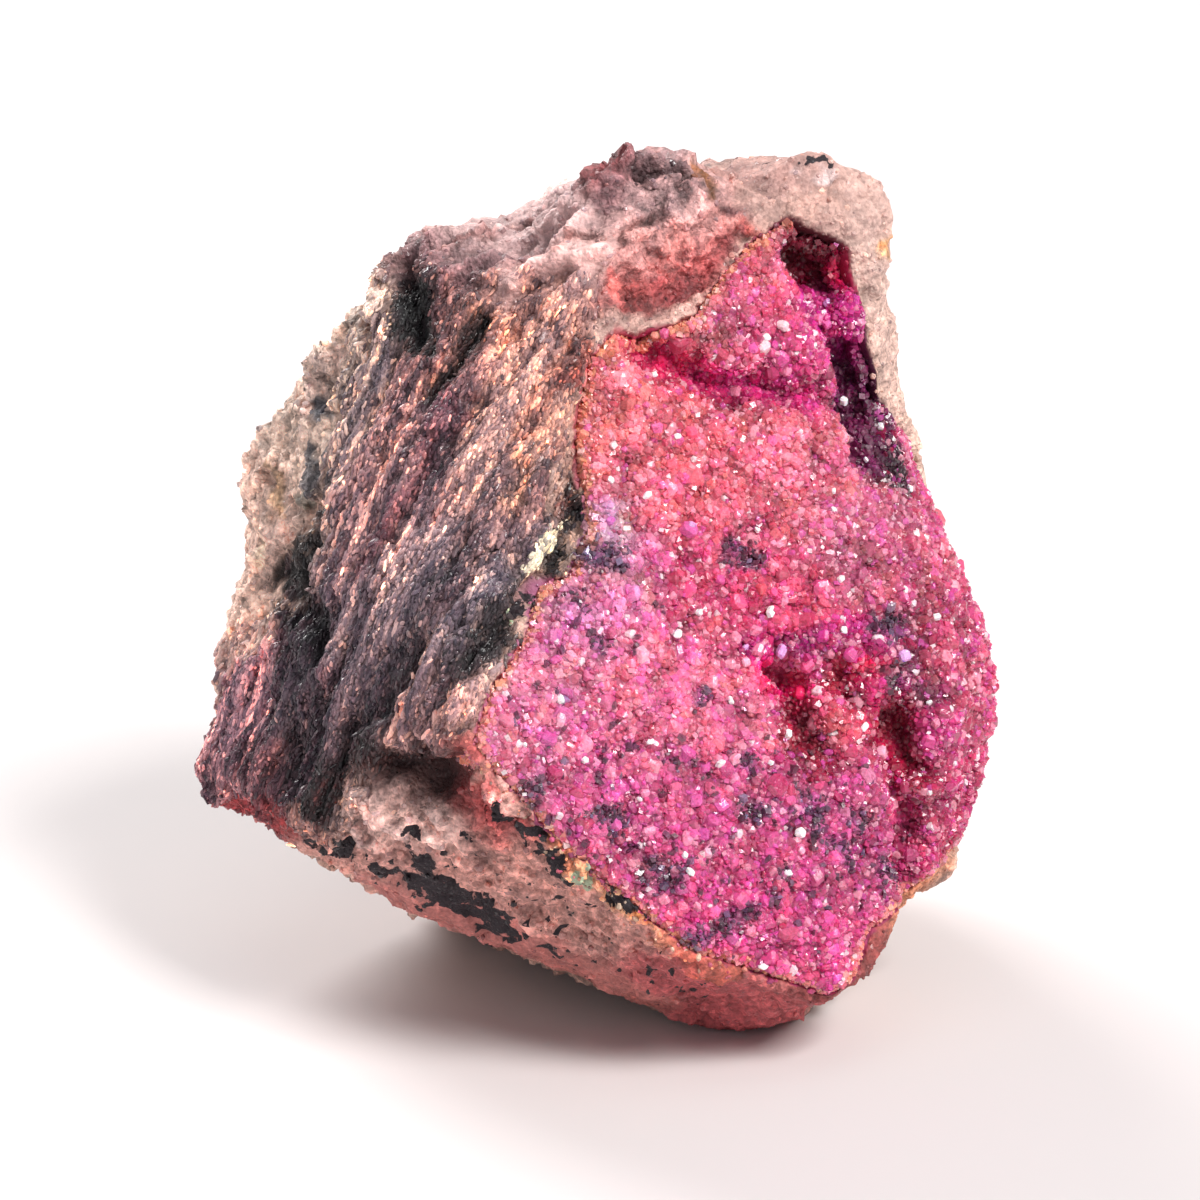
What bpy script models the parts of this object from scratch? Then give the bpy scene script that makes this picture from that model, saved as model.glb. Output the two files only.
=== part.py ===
"""Cobaltocalcite hand specimen: a block of pale host rock under a crust of small pink crystals.

The block is the convex hull of its named corners, with one flat facet to rest on. The crust is
the part of the block inside one outline on the druse plane, down to a bed that is the block
itself, sunk into the rock. Both solids are cut into small faces and bent by the same dents,
hollows and swellings, so that they still fit one another. Last, every outer face of the crust
rises into the point of a crystal.

Positions are in millimetres, X to the right, Y to the back and Z up, with the resting facet at
Z = 0. The finished object has its origin under the middle of its bounding box.
"""
import math
import random

import bmesh
import bpy
from mathutils import Matrix, Vector, noise

MM = 0.001

# Crust, in millimetres: its thickness, how far its bed also shifts sideways under the right
# flank, how far it reaches behind and before the druse plane, and the gap that it keeps
CRUST_DEPTH = 5.5
CRUST_WRAP = 2.0
CRUST_BACK = 9.0
CRUST_FRONT = 15.0
FIT_GAP = 0.3

# Longest edges of the small faces, in millimetres; the rock is finer before ROCK_BACK_START
CRUST_EDGE = 3.0
RIM_EDGE = 2.0
ROCK_EDGE_FRONT = 3.6
ROCK_EDGE_BACK = 6.6
ROCK_BACK_START = 9.0

# Ridges of the fibrous face: from crest to furrow, and the rise from the face, in millimetres
RIDGE_SPACING = 2.1
RIDGE_HEIGHT = 0.45

# Where bends fade out: height over the resting facet, share of it that may be lost, distance
# from the crust's rim, and where along the druse plane the right flank starts
BASE_TRANSITION = 4.0
LOWEST_SHARE = 0.5
QUIET_RIM = 3.2
FLANK_START = 10.0

# Rise of a crystal point as a share of its shortest edge, and the lean that leaves it no room
CRYSTAL_RISE = (0.30, 0.55)
CROWDED_ANGLE = math.radians(65.0)

# The druse plane: turned to the right by DRUSE_YAW and leaning back by DRUSE_PITCH
DRUSE_YAW = math.radians(28.0)
DRUSE_PITCH = math.radians(20.0)
DRUSE_CENTRE = Vector((8.75, -11.04, 31.78))
ALONG = Vector((math.cos(DRUSE_YAW), math.sin(DRUSE_YAW), 0.0))
OUTWARD = Vector((
    math.sin(DRUSE_YAW) * math.cos(DRUSE_PITCH),
    -math.cos(DRUSE_YAW) * math.cos(DRUSE_PITCH),
    math.sin(DRUSE_PITCH),
))
UPWARD = OUTWARD.cross(ALONG)

# The fibrous left face: its outward direction, and the direction across its ridges
FIBROUS = Vector((-0.799, -0.469, 0.378)).normalized()
ACROSS_RIDGES = Vector((0.453, -0.882, -0.135)).normalized()

BLOCK_CORNERS = {
    "druse_left": (-9.2, -22.0, 28.4),
    "druse_low_left": (-2.9, -22.2, 19.7),
    "druse_low": (6.5, -20.8, 11.0),
    "druse_foot": (17.0, -17.3, 5.9),
    "druse_foot_right": (19.1, -15.9, 6.6),
    "druse_right_low": (24.2, -10.1, 14.2),
    "druse_right": (25.8, -3.1, 29.1),
    "ridge_top": (0.5, -6.7, 52.9),
    "right_tip": (29.4, 2.0, 24.8),
    "right_shoulder": (28.7, 3.0, 28.5),
    "right_hip": (27.9, -1.0, 15.6),
    "right_low": (26.7, -1.0, 9.0),
    "top_right": (21.4, 8.0, 57.5),
    "top_right_corner": (20.2, 8.0, 61.9),
    "peak": (16.0, 6.0, 65.0),
    "block_left": (10.6, 0.5, 60.8),
    "crest_knob": (0.2, 1.0, 64.5),
    "crest_front": (0.0, -4.0, 58.7),
    "brow": (-7.3, -3.0, 56.0),
    "top_left": (-15.0, 6.0, 57.1),
    "left_upper": (-19.7, 8.0, 51.1),
    "left_brow": (-26.0, 11.0, 41.6),
    "left_mid": (-28.1, 12.0, 30.6),
    "left_tip": (-30.9, 6.0, 16.4),
    "left_tip_low": (-30.4, 5.0, 14.1),
    "keel_left": (-23.8, -5.0, 14.6),
    "keel_middle": (-16.3, -10.0, 11.2),
    "keel_front": (-7.4, -13.0, 8.8),
    "keel_right": (3.0, -12.0, 3.8),
    "ledge_foot": (-18.7, -14.0, 18.7),
    "base_front_left": (8.8, -9.3, 0.0),
    "base_front": (12.3, -9.0, 0.0),
    "base_front_right": (15.2, -6.0, 0.0),
    "base_right": (18.2, 9.5, 0.0),
    "base_right_back": (21.0, 18.0, 0.0),
    "base_back": (12.0, 25.0, 0.0),
    "base_back_left": (-6.0, 25.0, 0.0),
    "base_left": (-11.0, 19.0, 0.0),
    "base_left_front": (-9.0, 11.0, 0.0),
    "back_low_left": (-21.0, 24.0, 20.0),
    "back_left": (-20.0, 27.0, 38.0),
    "back_low": (4.0, 32.0, 13.0),
    "back_low_right": (22.0, 27.0, 14.0),
    "back_right": (23.0, 24.0, 38.0),
    "back_top": (10.0, 24.0, 58.0),
    "back_top_left": (-9.0, 22.0, 54.0),
    "back_side": (27.0, 13.0, 28.0),
    "back_bulge": (0.0, 34.0, 34.0),
}

# The crust's outline on the druse plane, anticlockwise, as distances along and up from its centre
CRUST_OUTLINE = (
    (-20.3, -4.2), (-14.8, -12.3), (-6.2, -21.4), (4.4, -26.6), (6.3, -26.0),
    (8.2, -22.6), (12.2, -21.2), (16.1, -19.5), (22.8, -17.2),
    (29.5, -9.0), (30.0, 4.0), (26.5, 11.5),
    (18.8, 15.4), (18.2, 17.9), (16.6, 21.2), (16.1, 24.3), (15.7, 27.1),
    (13.4, 28.4), (11.0, 29.5), (8.2, 28.2), (4.9, 25.7), (2.2, 23.2), (-2.2, 22.3),
    (-4.3, 22.8), (-6.3, 21.4), (-8.1, 15.8), (-8.7, 9.4), (-10.9, 6.0), (-13.1, 5.6),
    (-14.6, 2.9), (-18.1, -0.6),
)

# Hollows (and, with a negative depth, mounds) of the druse: path on its plane, radius, depth
DRUSE_HOLLOWS = (
    ("top_vug", ((12.0, 26.6), (13.9, 25.2)), 3.3, 4.2),
    ("right_vug", ((15.6, 18.4), (15.9, 14.2), (16.3, 10.8)), 3.4, 3.6),
    ("vug_link", ((13.9, 25.2), (13.3, 22.2), (15.6, 18.4)), 2.4, 1.6),
    ("trench", ((-2.3, 21.4), (0.3, 19.8), (3.4, 18.4), (7.5, 17.5), (11.9, 16.1)), 2.6, 2.2),
    ("middle_cavity", ((4.2, -2.1), (5.8, -5.3)), 2.6, 2.3),
    ("long_cavity", ((13.7, -9.2), (13.7, -11.1), (13.5, -17.1), (12.7, -20.0)), 2.5, 2.8),
    ("edge_groove", ((-7.6, 17.9), (-9.6, 13.8), (-10.6, 10.3), (-12.6, 7.3), (-15.2, 4.3)), 1.9, 1.1),
    ("upper_recess", ((-1.5, 27.0), (2.0, 27.0), (5.5, 29.2)), 3.6, 2.4),
    ("mound_right", ((11.8, -2.9),), 3.6, -1.2),
    ("mound_centre", ((8.1, -7.4),), 3.0, -1.0),
    ("mound_top", ((7.8, -1.6),), 2.8, -0.8),
    ("mound_left", ((1.4, -6.4),), 3.4, -0.8),
    ("mound_flank", ((17.6, -7.2),), 3.2, -1.0),
    ("mound_low", ((9.4, -13.4),), 4.0, -0.9),
    ("mound_corner", ((16.2, 0.8),), 3.4, -0.8),
    ("swelling_left", ((-10.0, -2.0), (-6.0, 4.0)), 6.0, -0.9),
    ("swelling_foot", ((-6.0, -13.0), (2.0, -20.0)), 5.5, -0.8),
)

# Dents and bumps of the whole block: centre, radius, push
BLOCK_DENTS = (
    ("saddle", (10.2, 4.5, 63.4), 5.8, (0.0, -0.2, -2.4)),
    ("crest_dip", (-5.8, 2.4, 61.2), 6.4, (0.3, 0.3, -3.7)),
    ("crest_left_dip", (-11.5, 6.0, 59.0), 4.0, (0.0, 0.0, -0.8)),
    ("right_waist", (25.2, 4.0, 42.0), 12.0, (-3.3, 1.0, 0.0)),
    ("right_neck", (22.6, 7.0, 52.0), 6.5, (-1.3, 0.4, 0.0)),
    ("left_notch", (-26.4, 0.5, 13.4), 4.6, (0.8, 0.8, 2.2)),
    ("foot_dent", (23.4, 2.0, 4.4), 7.5, (-3.0, 1.0, 0.6)),
    ("foot_hollow", (24.2, -6.8, 6.0), 6.4, (-3.8, 2.4, 0.6)),
    ("corner_lump", (20.6, 8.0, 60.4), 4.5, (1.0, 0.0, 0.0)),
    ("brow_shadow", (-13.6, -1.6, 54.0), 4.0, (1.1, 1.0, -1.0)),
    ("fibrous_pit", (-24.4, 5.0, 31.0), 4.6, (1.2, 0.8, -0.4)),
    ("fibrous_low_pit", (-24.0, 0.5, 22.0), 5.0, (1.3, 0.9, -0.4)),
    ("ridge_hollow", (-5.6, -15.6, 41.2), 3.4, (0.9, 1.4, -0.4)),
    ("ledge_shadow", (-12.6, -18.0, 23.4), 4.4, (0.7, 1.7, 0.4)),
    ("keel_pits", (-9.0, -13.8, 11.6), 4.6, (0.3, 1.5, 0.6)),
    ("keel_pit_left", (-18.5, -9.4, 14.4), 3.6, (0.4, 1.1, 0.5)),
    ("right_lump", (23.6, -6.4, 9.4), 3.6, (0.6, -0.9, 0.0)),
    ("left_bulge", (-28.0, 10.0, 38.0), 7.0, (-1.0, 0.0, 0.0)),
    ("back_scar", (-6.0, 31.0, 44.0), 12.0, (0.0, -3.0, -1.0)),
    ("back_hollow", (14.0, 29.0, 24.0), 9.0, (-0.6, -2.4, 0.0)),
    ("top_back_step", (2.0, 20.0, 58.0), 8.0, (0.0, 0.0, -2.2)),
)

# Unevenness of all broken surfaces: wavelength and height, coarse to fine
UNEVENNESS = ((13.0, 0.9), (6.0, 0.65), (2.8, 0.4))

COATS = {
    "matrix": ("host_rock", (0.62, 0.47, 0.42, 1.0), 0.85),
    "cobaltocalcite_crust": ("pink_crystal", (0.78, 0.10, 0.28, 1.0), 0.22),
}

# Tolerances: on the block's outside and between merged points, in millimetres, and the angle
# under which two faces count as one flat
SKIN_TOLERANCE = 0.02
MERGE = 0.01
FLAT_ANGLE = math.radians(0.3)
REFINE_ROUNDS = 9
UNEVENNESS_SEED = 9
CRYSTAL_SEED = 27


def druse_frame():
    """Transform from the druse plane's own axes, in metres, to the object's."""
    frame = Matrix((ALONG, UPWARD, OUTWARD)).transposed().to_4x4()
    frame.translation = DRUSE_CENTRE * MM
    return frame


def new_collection(name):
    """An empty collection, linked to the scene."""
    collection = bpy.data.collections.new(name)
    bpy.context.scene.collection.children.link(collection)
    return collection


def new_object(name, mesh_from, collection):
    """An object in the collection, whose mesh is the given bmesh, which is freed."""
    mesh = bpy.data.meshes.new(name)
    mesh_from.to_mesh(mesh)
    mesh_from.free()
    made = bpy.data.objects.new(name, mesh)
    collection.objects.link(made)
    return made


def mark_as_cutter(made):
    """Show a cutting body as wires, and leave it out of renders."""
    made.display_type = "WIRE"
    made.hide_render = True
    return made


def block_hull(shift=Vector()):
    """Closed convex block through its corners, moved by a shift in millimetres."""
    hull = bmesh.new()
    for corner in BLOCK_CORNERS.values():
        hull.verts.new((Vector(corner) + shift) * MM)
    result = bmesh.ops.convex_hull(hull, input=hull.verts)
    inner = [item for item in result["geom_interior"] if isinstance(item, bmesh.types.BMVert)]
    bmesh.ops.delete(hull, geom=inner, context="VERTS")
    bmesh.ops.recalc_face_normals(hull, faces=hull.faces)
    return hull


def grown(outline, distance):
    """Closed outline moved outward by a distance, with its corners mitred."""
    moved = []
    for index, corner in enumerate(outline):
        before = (Vector(corner) - Vector(outline[index - 1])).normalized()
        after = (Vector(outline[(index + 1) % len(outline)]) - Vector(corner)).normalized()
        normal_before = Vector((before.y, -before.x))
        normal_after = Vector((after.y, -after.x))
        mitre = (normal_before + normal_after).normalized()
        reach = distance / max(mitre.dot(normal_after), 0.5)
        moved.append(Vector(corner) + mitre * reach)
    return moved


def outline_prism(name, growth, collection):
    """Closed prism square to the druse plane over the crust's outline, grown all round."""
    front = CRUST_FRONT
    back = CRUST_BACK + growth
    curve = bpy.data.curves.new(name, "CURVE")
    curve.dimensions = "2D"
    curve.fill_mode = "BOTH"
    curve.extrude = (front + back) / 2.0 * MM
    outline = grown(CRUST_OUTLINE, growth)
    spline = curve.splines.new("POLY")
    spline.points.add(len(outline) - 1)
    for point, place in zip(spline.points, outline):
        point.co = (place.x * MM, place.y * MM, 0.0, 1.0)
    spline.use_cyclic_u = True
    drawn = bpy.data.objects.new(name, curve)
    collection.objects.link(drawn)
    drawn.matrix_world = druse_frame() @ Matrix.Translation((0.0, 0.0, (front - back) / 2.0 * MM))
    bpy.context.view_layer.update()
    evaluated = drawn.evaluated_get(bpy.context.evaluated_depsgraph_get())
    solid = bmesh.new()
    solid.from_mesh(bpy.data.meshes.new_from_object(evaluated))
    solid.transform(drawn.matrix_world)
    bmesh.ops.remove_doubles(solid, verts=solid.verts, dist=MERGE * MM)
    bmesh.ops.recalc_face_normals(solid, faces=solid.faces)
    bpy.data.objects.remove(drawn)
    return mark_as_cutter(new_object(name, solid, collection))


def combine(body, cutter, operation):
    """Cut the body's mesh by the cutter, or keep what they share."""
    modifier = body.modifiers.new(operation.lower(), "BOOLEAN")
    modifier.operation = operation
    modifier.object = cutter
    evaluated = body.evaluated_get(bpy.context.evaluated_depsgraph_get())
    mesh = bpy.data.meshes.new_from_object(evaluated)
    body.modifiers.remove(modifier)
    body.data = mesh


def skin_planes():
    """The block's outer planes, as pairs of a point in millimetres and an outward direction."""
    hull = block_hull()
    planes = [(face.verts[0].co / MM, face.normal.copy()) for face in hull.faces]
    hull.free()
    return planes


def depth_in_block(place, planes):
    """How deep a place in millimetres lies under the block's nearest outer plane."""
    return min((point - place).dot(normal) for point, normal in planes)


def skin_faces(solid, planes):
    """Faces of the solid that lie on the outside of the block, but for its resting facet."""
    skin = []
    for face in solid.faces:
        middle = face.calc_center_median() / MM
        if middle.z > SKIN_TOLERANCE and depth_in_block(middle, planes) < SKIN_TOLERANCE:
            skin.append(face)
    return skin


def triangulate_split_faces(solid):
    """Triangulate what a cut or a halved edge left with more than three corners."""
    split = [face for face in solid.faces if len(face.verts) > 3]
    bmesh.ops.triangulate(solid, faces=split)
    bmesh.ops.dissolve_degenerate(solid, dist=MERGE * MM, edges=solid.edges)


def tidy_flats(solid):
    """Merge what a cut left in pieces: doubled points and split flat faces."""
    bmesh.ops.remove_doubles(solid, verts=solid.verts, dist=MERGE * MM)
    bmesh.ops.dissolve_limit(
        solid, angle_limit=FLAT_ANGLE, verts=solid.verts, edges=solid.edges
    )
    triangulate_split_faces(solid)


def cut_ridge_lines(solid):
    """Draw the fibrous face's crests and furrows as edges, marked as seams."""
    reach = [ACROSS_RIDGES.dot(Vector(corner)) for corner in BLOCK_CORNERS.values()]
    line = math.ceil(min(reach) / RIDGE_SPACING)
    while line * RIDGE_SPACING < max(reach):
        faces = [face for face in solid.faces if face.normal.dot(FIBROUS) > 0.94]
        geometry = dict.fromkeys(faces)
        for face in faces:
            geometry.update(dict.fromkeys(face.edges))
            geometry.update(dict.fromkeys(face.verts))
        cut = bmesh.ops.bisect_plane(
            solid,
            geom=list(geometry),
            dist=MERGE * MM,
            plane_co=ACROSS_RIDGES * line * RIDGE_SPACING * MM,
            plane_no=ACROSS_RIDGES,
        )
        for item in cut["geom_cut"]:
            if isinstance(item, bmesh.types.BMEdge):
                item.seam = True
        line += 1
    triangulate_split_faces(solid)


def rock_edge_limit(edge):
    """Longest rock edge in millimetres, finer in front."""
    middle = (edge.verts[0].co + edge.verts[1].co) / 2.0 / MM
    return ROCK_EDGE_FRONT if middle.y < ROCK_BACK_START else ROCK_EDGE_BACK


def crust_edge_limit(_edge):
    """Longest edge on the crust in millimetres."""
    return CRUST_EDGE


def is_flat(edge):
    """Whether an edge runs inside a flat face and may be turned."""
    return edge.is_manifold and not edge.seam and edge.calc_face_angle() < FLAT_ANGLE


def outside_edges_over(solid, planes, edge_limit):
    """Outside edges over their limit, which is the same on both sides of the crust's rim.

    The resting facet's border has the rim's limit too.
    """
    skin = set(skin_faces(solid, planes))
    long_edges = []
    for edge in solid.edges:
        inside_faces = [face for face in edge.link_faces if face not in skin]
        if len(inside_faces) == len(edge.link_faces):
            continue
        limit = RIM_EDGE if inside_faces else edge_limit(edge)
        if edge.calc_length() / MM > limit:
            long_edges.append(edge)
    return long_edges


def refine(solid, planes, edge_limit):
    """Halve the outside's long edges until none is left, with the flat areas evened out."""
    for _round in range(REFINE_ROUNDS):
        long_edges = outside_edges_over(solid, planes, edge_limit)
        if not long_edges:
            break
        bmesh.ops.subdivide_edges(solid, edges=long_edges, cuts=1)
        triangulate_split_faces(solid)
        turnable = [edge for edge in solid.edges if is_flat(edge)]
        bmesh.ops.beautify_fill(solid, faces=solid.faces, edges=turnable, method="ANGLE")
        free = [vert for vert in solid.verts if all(is_flat(edge) for edge in vert.link_edges)]
        bmesh.ops.smooth_vert(
            solid, verts=free, factor=0.5, use_axis_x=True, use_axis_y=True, use_axis_z=True
        )


def bowl(distance, radius):
    """Depth, from 1 in the middle to 0 at the rim, of a rounded hollow."""
    share = min(distance / radius, 1.0)
    return (1.0 - share * share) ** 2


def distance_to_path(place, path):
    """Distance from a place on the druse plane to a point or a line of points."""
    if len(path) == 1:
        return (place - Vector(path[0])).length
    distances = []
    for start, end in zip(path, path[1:]):
        start = Vector(start)
        run = Vector(end) - start
        share = min(max((place - start).dot(run) / run.length_squared, 0.0), 1.0)
        distances.append((place - start - run * share).length)
    return min(distances)


def quiet_share(on_plane, behind):
    """How much of the unevenness is left out at the crust's rim, where it would close the gap."""
    from_rim = distance_to_path(on_plane, CRUST_OUTLINE + CRUST_OUTLINE[:1])
    if on_plane.x > FLANK_START:
        from_rim = min(from_rim, abs(behind - CRUST_BACK))
    return bowl(from_rim, QUIET_RIM)


def bend_offset(place):
    """How far an outside place moves, in millimetres: hollows, dents and unevenness."""
    offset = Vector()
    from_centre = place - DRUSE_CENTRE
    on_plane = Vector((from_centre.dot(ALONG), from_centre.dot(UPWARD)))
    behind = -from_centre.dot(OUTWARD)
    uneven_share = 1.0 - quiet_share(on_plane, behind)
    front_share = min(max((CRUST_BACK + 4.0 - behind) / 4.0, 0.0), 1.0)
    for _name, path, radius, depth in DRUSE_HOLLOWS:
        offset -= OUTWARD * depth * front_share * bowl(distance_to_path(on_plane, path), radius)
    for _name, centre, radius, push in BLOCK_DENTS:
        offset += Vector(push) * bowl((place - Vector(centre)).length, radius)
    for wavelength, height in UNEVENNESS:
        offset += noise.noise_vector(place / wavelength) * height * uneven_share
    return offset


def ridge_offset(place, normal):
    """Crests and furrows of the fibrous face at an outside place, in millimetres."""
    share = min(max((normal.dot(FIBROUS) - 0.80) / 0.12, 0.0), 1.0)
    phase = place.dot(ACROSS_RIDGES) / RIDGE_SPACING
    wave = 1.0 - 2.0 * abs((phase % 2.0) - 1.0)
    strength = 0.7 + 0.8 * noise.noise(place / 9.0)
    return FIBROUS * wave * strength * share * RIDGE_HEIGHT


def kept_off_base(place, offset):
    """The offset, fading out towards the resting facet, and never down through it."""
    faded = offset * min(max(place.z / BASE_TRANSITION, 0.0), 1.0)
    faded.z = max(faded.z, -place.z * LOWEST_SHARE)
    return faded


def bend(solid, planes, fibrous):
    """Move the outside's points by the bends, with ridges on the fibrous face if it has them."""
    solid.normal_update()
    moves = []
    for vert in solid.verts:
        place = vert.co / MM
        if depth_in_block(place, planes) > SKIN_TOLERANCE:
            continue
        move = bend_offset(place)
        if fibrous:
            move += ridge_offset(place, vert.normal)
        moves.append((vert, kept_off_base(place, move) * MM))
    for vert, move in moves:
        vert.co += move


def grow_points(solid, outer):
    """Raise the middle of each outer face, less where its neighbours lean over it."""
    heights = random.Random(CRYSTAL_SEED)
    solid.normal_update()
    rises = []
    for face in outer:
        shortest = min(edge.calc_length() for edge in face.edges)
        around = {edge for vert in face.verts for edge in vert.link_edges}
        leaning = min(edge.calc_face_angle_signed(0.0) for edge in around)
        room = min(max(1.0 + leaning / CROWDED_ANGLE, 0.0), 1.0)
        rises.append(heights.uniform(*CRYSTAL_RISE) * shortest * room)
    normals = [face.normal.copy() for face in outer]
    poked = bmesh.ops.poke(solid, faces=outer)
    for vert, normal, rise in zip(poked["verts"], normals, rises):
        vert.co += normal * rise


def coat(made):
    """Give an object its own material."""
    name, colour, roughness = COATS[made.name]
    material = bpy.data.materials.new(name)
    material.use_nodes = True
    shader = material.node_tree.nodes["Principled BSDF"]
    shader.inputs["Base Color"].default_value = colour
    shader.inputs["Roughness"].default_value = roughness
    shader.inputs["Metallic"].default_value = 0.0
    made.data.materials.clear()
    made.data.materials.append(material)


def build_crust(parts, cutters, planes):
    """The crystal crust: the block inside the outline, above the sunk bed."""
    bed_shift = -OUTWARD * CRUST_DEPTH - ALONG * CRUST_WRAP
    crust = new_object("cobaltocalcite_crust", block_hull(), parts)
    bed = mark_as_cutter(new_object("crust_bed", block_hull(bed_shift), cutters))
    combine(crust, outline_prism("crust_outline", 0.0, cutters), "INTERSECT")
    combine(crust, bed, "DIFFERENCE")
    solid = bmesh.new()
    solid.from_mesh(crust.data)
    tidy_flats(solid)
    refine(solid, planes, crust_edge_limit)
    outer = skin_faces(solid, planes)
    bend(solid, planes, fibrous=False)
    grow_points(solid, outer)
    solid.to_mesh(crust.data)
    solid.free()
    return crust


def build_matrix(parts, cutters, planes):
    """The host rock: the block without the crust's room, which is larger by the fit gap."""
    room_shift = -OUTWARD * (CRUST_DEPTH + FIT_GAP) - ALONG * (CRUST_WRAP + FIT_GAP)
    matrix = new_object("matrix", block_hull(), parts)
    room = outline_prism("crust_room", FIT_GAP, cutters)
    room_floor = mark_as_cutter(new_object("crust_room_floor", block_hull(room_shift), cutters))
    combine(room, room_floor, "DIFFERENCE")
    combine(matrix, room, "DIFFERENCE")
    solid = bmesh.new()
    solid.from_mesh(matrix.data)
    tidy_flats(solid)
    cut_ridge_lines(solid)
    refine(solid, planes, rock_edge_limit)
    bend(solid, planes, fibrous=True)
    solid.to_mesh(matrix.data)
    solid.free()
    return matrix


def centre_on_base(made):
    """Move the meshes so that the origin lies under the middle of their common box."""
    corners = [vert.co for item in made for vert in item.data.vertices]
    low = Vector([min(corner[axis] for corner in corners) for axis in range(3)])
    high = Vector([max(corner[axis] for corner in corners) for axis in range(3)])
    middle = Vector(((low.x + high.x) / 2.0, (low.y + high.y) / 2.0, low.z))
    for item in made:
        item.data.transform(Matrix.Translation(-middle))


def main():
    """Clear the scene and build the specimen."""
    noise.seed_set(UNEVENNESS_SEED)
    for leftover in list(bpy.data.objects):
        bpy.data.objects.remove(leftover)
    parts = new_collection("cobaltocalcite")
    cutters = new_collection("cutters")
    planes = skin_planes()
    made = [build_crust(parts, cutters, planes), build_matrix(parts, cutters, planes)]
    centre_on_base(made)
    for item in made:
        coat(item)


main()
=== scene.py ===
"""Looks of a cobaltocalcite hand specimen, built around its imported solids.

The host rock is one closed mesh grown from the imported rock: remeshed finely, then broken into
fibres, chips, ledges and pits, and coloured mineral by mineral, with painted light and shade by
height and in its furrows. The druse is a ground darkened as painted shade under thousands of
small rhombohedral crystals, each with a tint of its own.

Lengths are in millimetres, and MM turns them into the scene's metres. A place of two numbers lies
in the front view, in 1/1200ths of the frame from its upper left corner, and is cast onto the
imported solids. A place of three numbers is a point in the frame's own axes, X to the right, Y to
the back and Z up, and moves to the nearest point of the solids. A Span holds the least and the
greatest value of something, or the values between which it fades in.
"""

import logging
import math
from collections.abc import Iterable, Sequence
from dataclasses import dataclass, field
from enum import Enum

import bmesh
import bpy
import numpy as np
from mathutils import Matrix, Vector, noise
from mathutils.bvhtree import BVHTree
from mathutils.kdtree import KDTree


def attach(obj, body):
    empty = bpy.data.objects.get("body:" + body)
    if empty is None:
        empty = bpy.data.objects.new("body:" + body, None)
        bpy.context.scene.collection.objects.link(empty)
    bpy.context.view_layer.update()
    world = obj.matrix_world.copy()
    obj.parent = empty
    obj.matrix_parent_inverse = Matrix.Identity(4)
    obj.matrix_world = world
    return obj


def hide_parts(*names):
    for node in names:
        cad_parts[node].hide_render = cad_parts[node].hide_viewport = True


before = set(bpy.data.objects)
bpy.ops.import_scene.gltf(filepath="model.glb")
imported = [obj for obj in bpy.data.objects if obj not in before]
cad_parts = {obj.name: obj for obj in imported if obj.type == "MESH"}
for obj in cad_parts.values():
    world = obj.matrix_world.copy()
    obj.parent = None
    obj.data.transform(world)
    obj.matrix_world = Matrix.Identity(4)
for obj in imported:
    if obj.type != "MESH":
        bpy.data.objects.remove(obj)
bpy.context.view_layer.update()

MM = 0.001
FRAME_UNITS = 1200.0
ROCK_NODE = "matrix"
CRUST_NODE = "cobaltocalcite_crust"
NOISE_SEED = 7

# Casts along a path: frame units between two of them, and steps between corners of three numbers
CAST_STEP = 10.0
DEEP_STEPS = 3

# Weight of the last zone far from every zone
FAR_SHARE = 0.0004

# Distance to an empty trail, and what keeps lengths and their squares off zero, in millimetres
FAR_AWAY = 1.0e6
TINY = 1.0e-6
TINY_SQUARE = 1.0e-9

# Directions in which an outline's soft edge is sampled
EDGE_SAMPLES = 8

Place = tuple[float, ...]
Colour = tuple[float, float, float]
Span = tuple[float, float]
Array = np.ndarray
Body = bmesh.types.BMesh
Draws = np.random.Generator
Material = bpy.types.Material
Mesh = bpy.types.Mesh

log = logging.getLogger("specimen")


def tone(red: int, green: int, blue: int) -> Colour:
    """Linear colour of a display colour.

    Args:
        red: the display's red channel, from 0 to 255.
        green: its green channel.
        blue: its blue channel.

    Returns:
        The three channels without the display's curve, from 0 to 1.
    """
    shares = (channel / 255.0 for channel in (red, green, blue))
    return tuple(
        share / 12.92 if share <= 0.04045 else ((share + 0.055) / 1.055) ** 2.4 for share in shares
    )


def fade(values: Array, start: float, end: float) -> Array:
    """Smooth rise from 0 at start to 1 at end."""
    share = np.clip((values - start) / (end - start), 0.0, 1.0)
    return share * share * (3.0 - 2.0 * share)


def unit(x: float, y: float, z: float) -> Array:
    """Direction of a vector, with a length of 1."""
    return np.array(Vector((x, y, z)).normalized())


# The fibrous left face: outward, across its fibres and along them
FIBROUS_OUT = unit(-0.799, -0.469, 0.378)
ACROSS_FIBRES = unit(0.453, -0.882, -0.135)
ALONG_FIBRES = np.cross(FIBROUS_OUT, ACROSS_FIBRES)

# Across and along the ledges of the top
ACROSS_LEDGES = unit(-0.27, 0.95, 0.0)
ALONG_LEDGES = unit(0.88, 0.25, 0.40)

# The druse's outward direction
DRUSE_OUT = unit(0.441, -0.830, 0.342)


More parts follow.
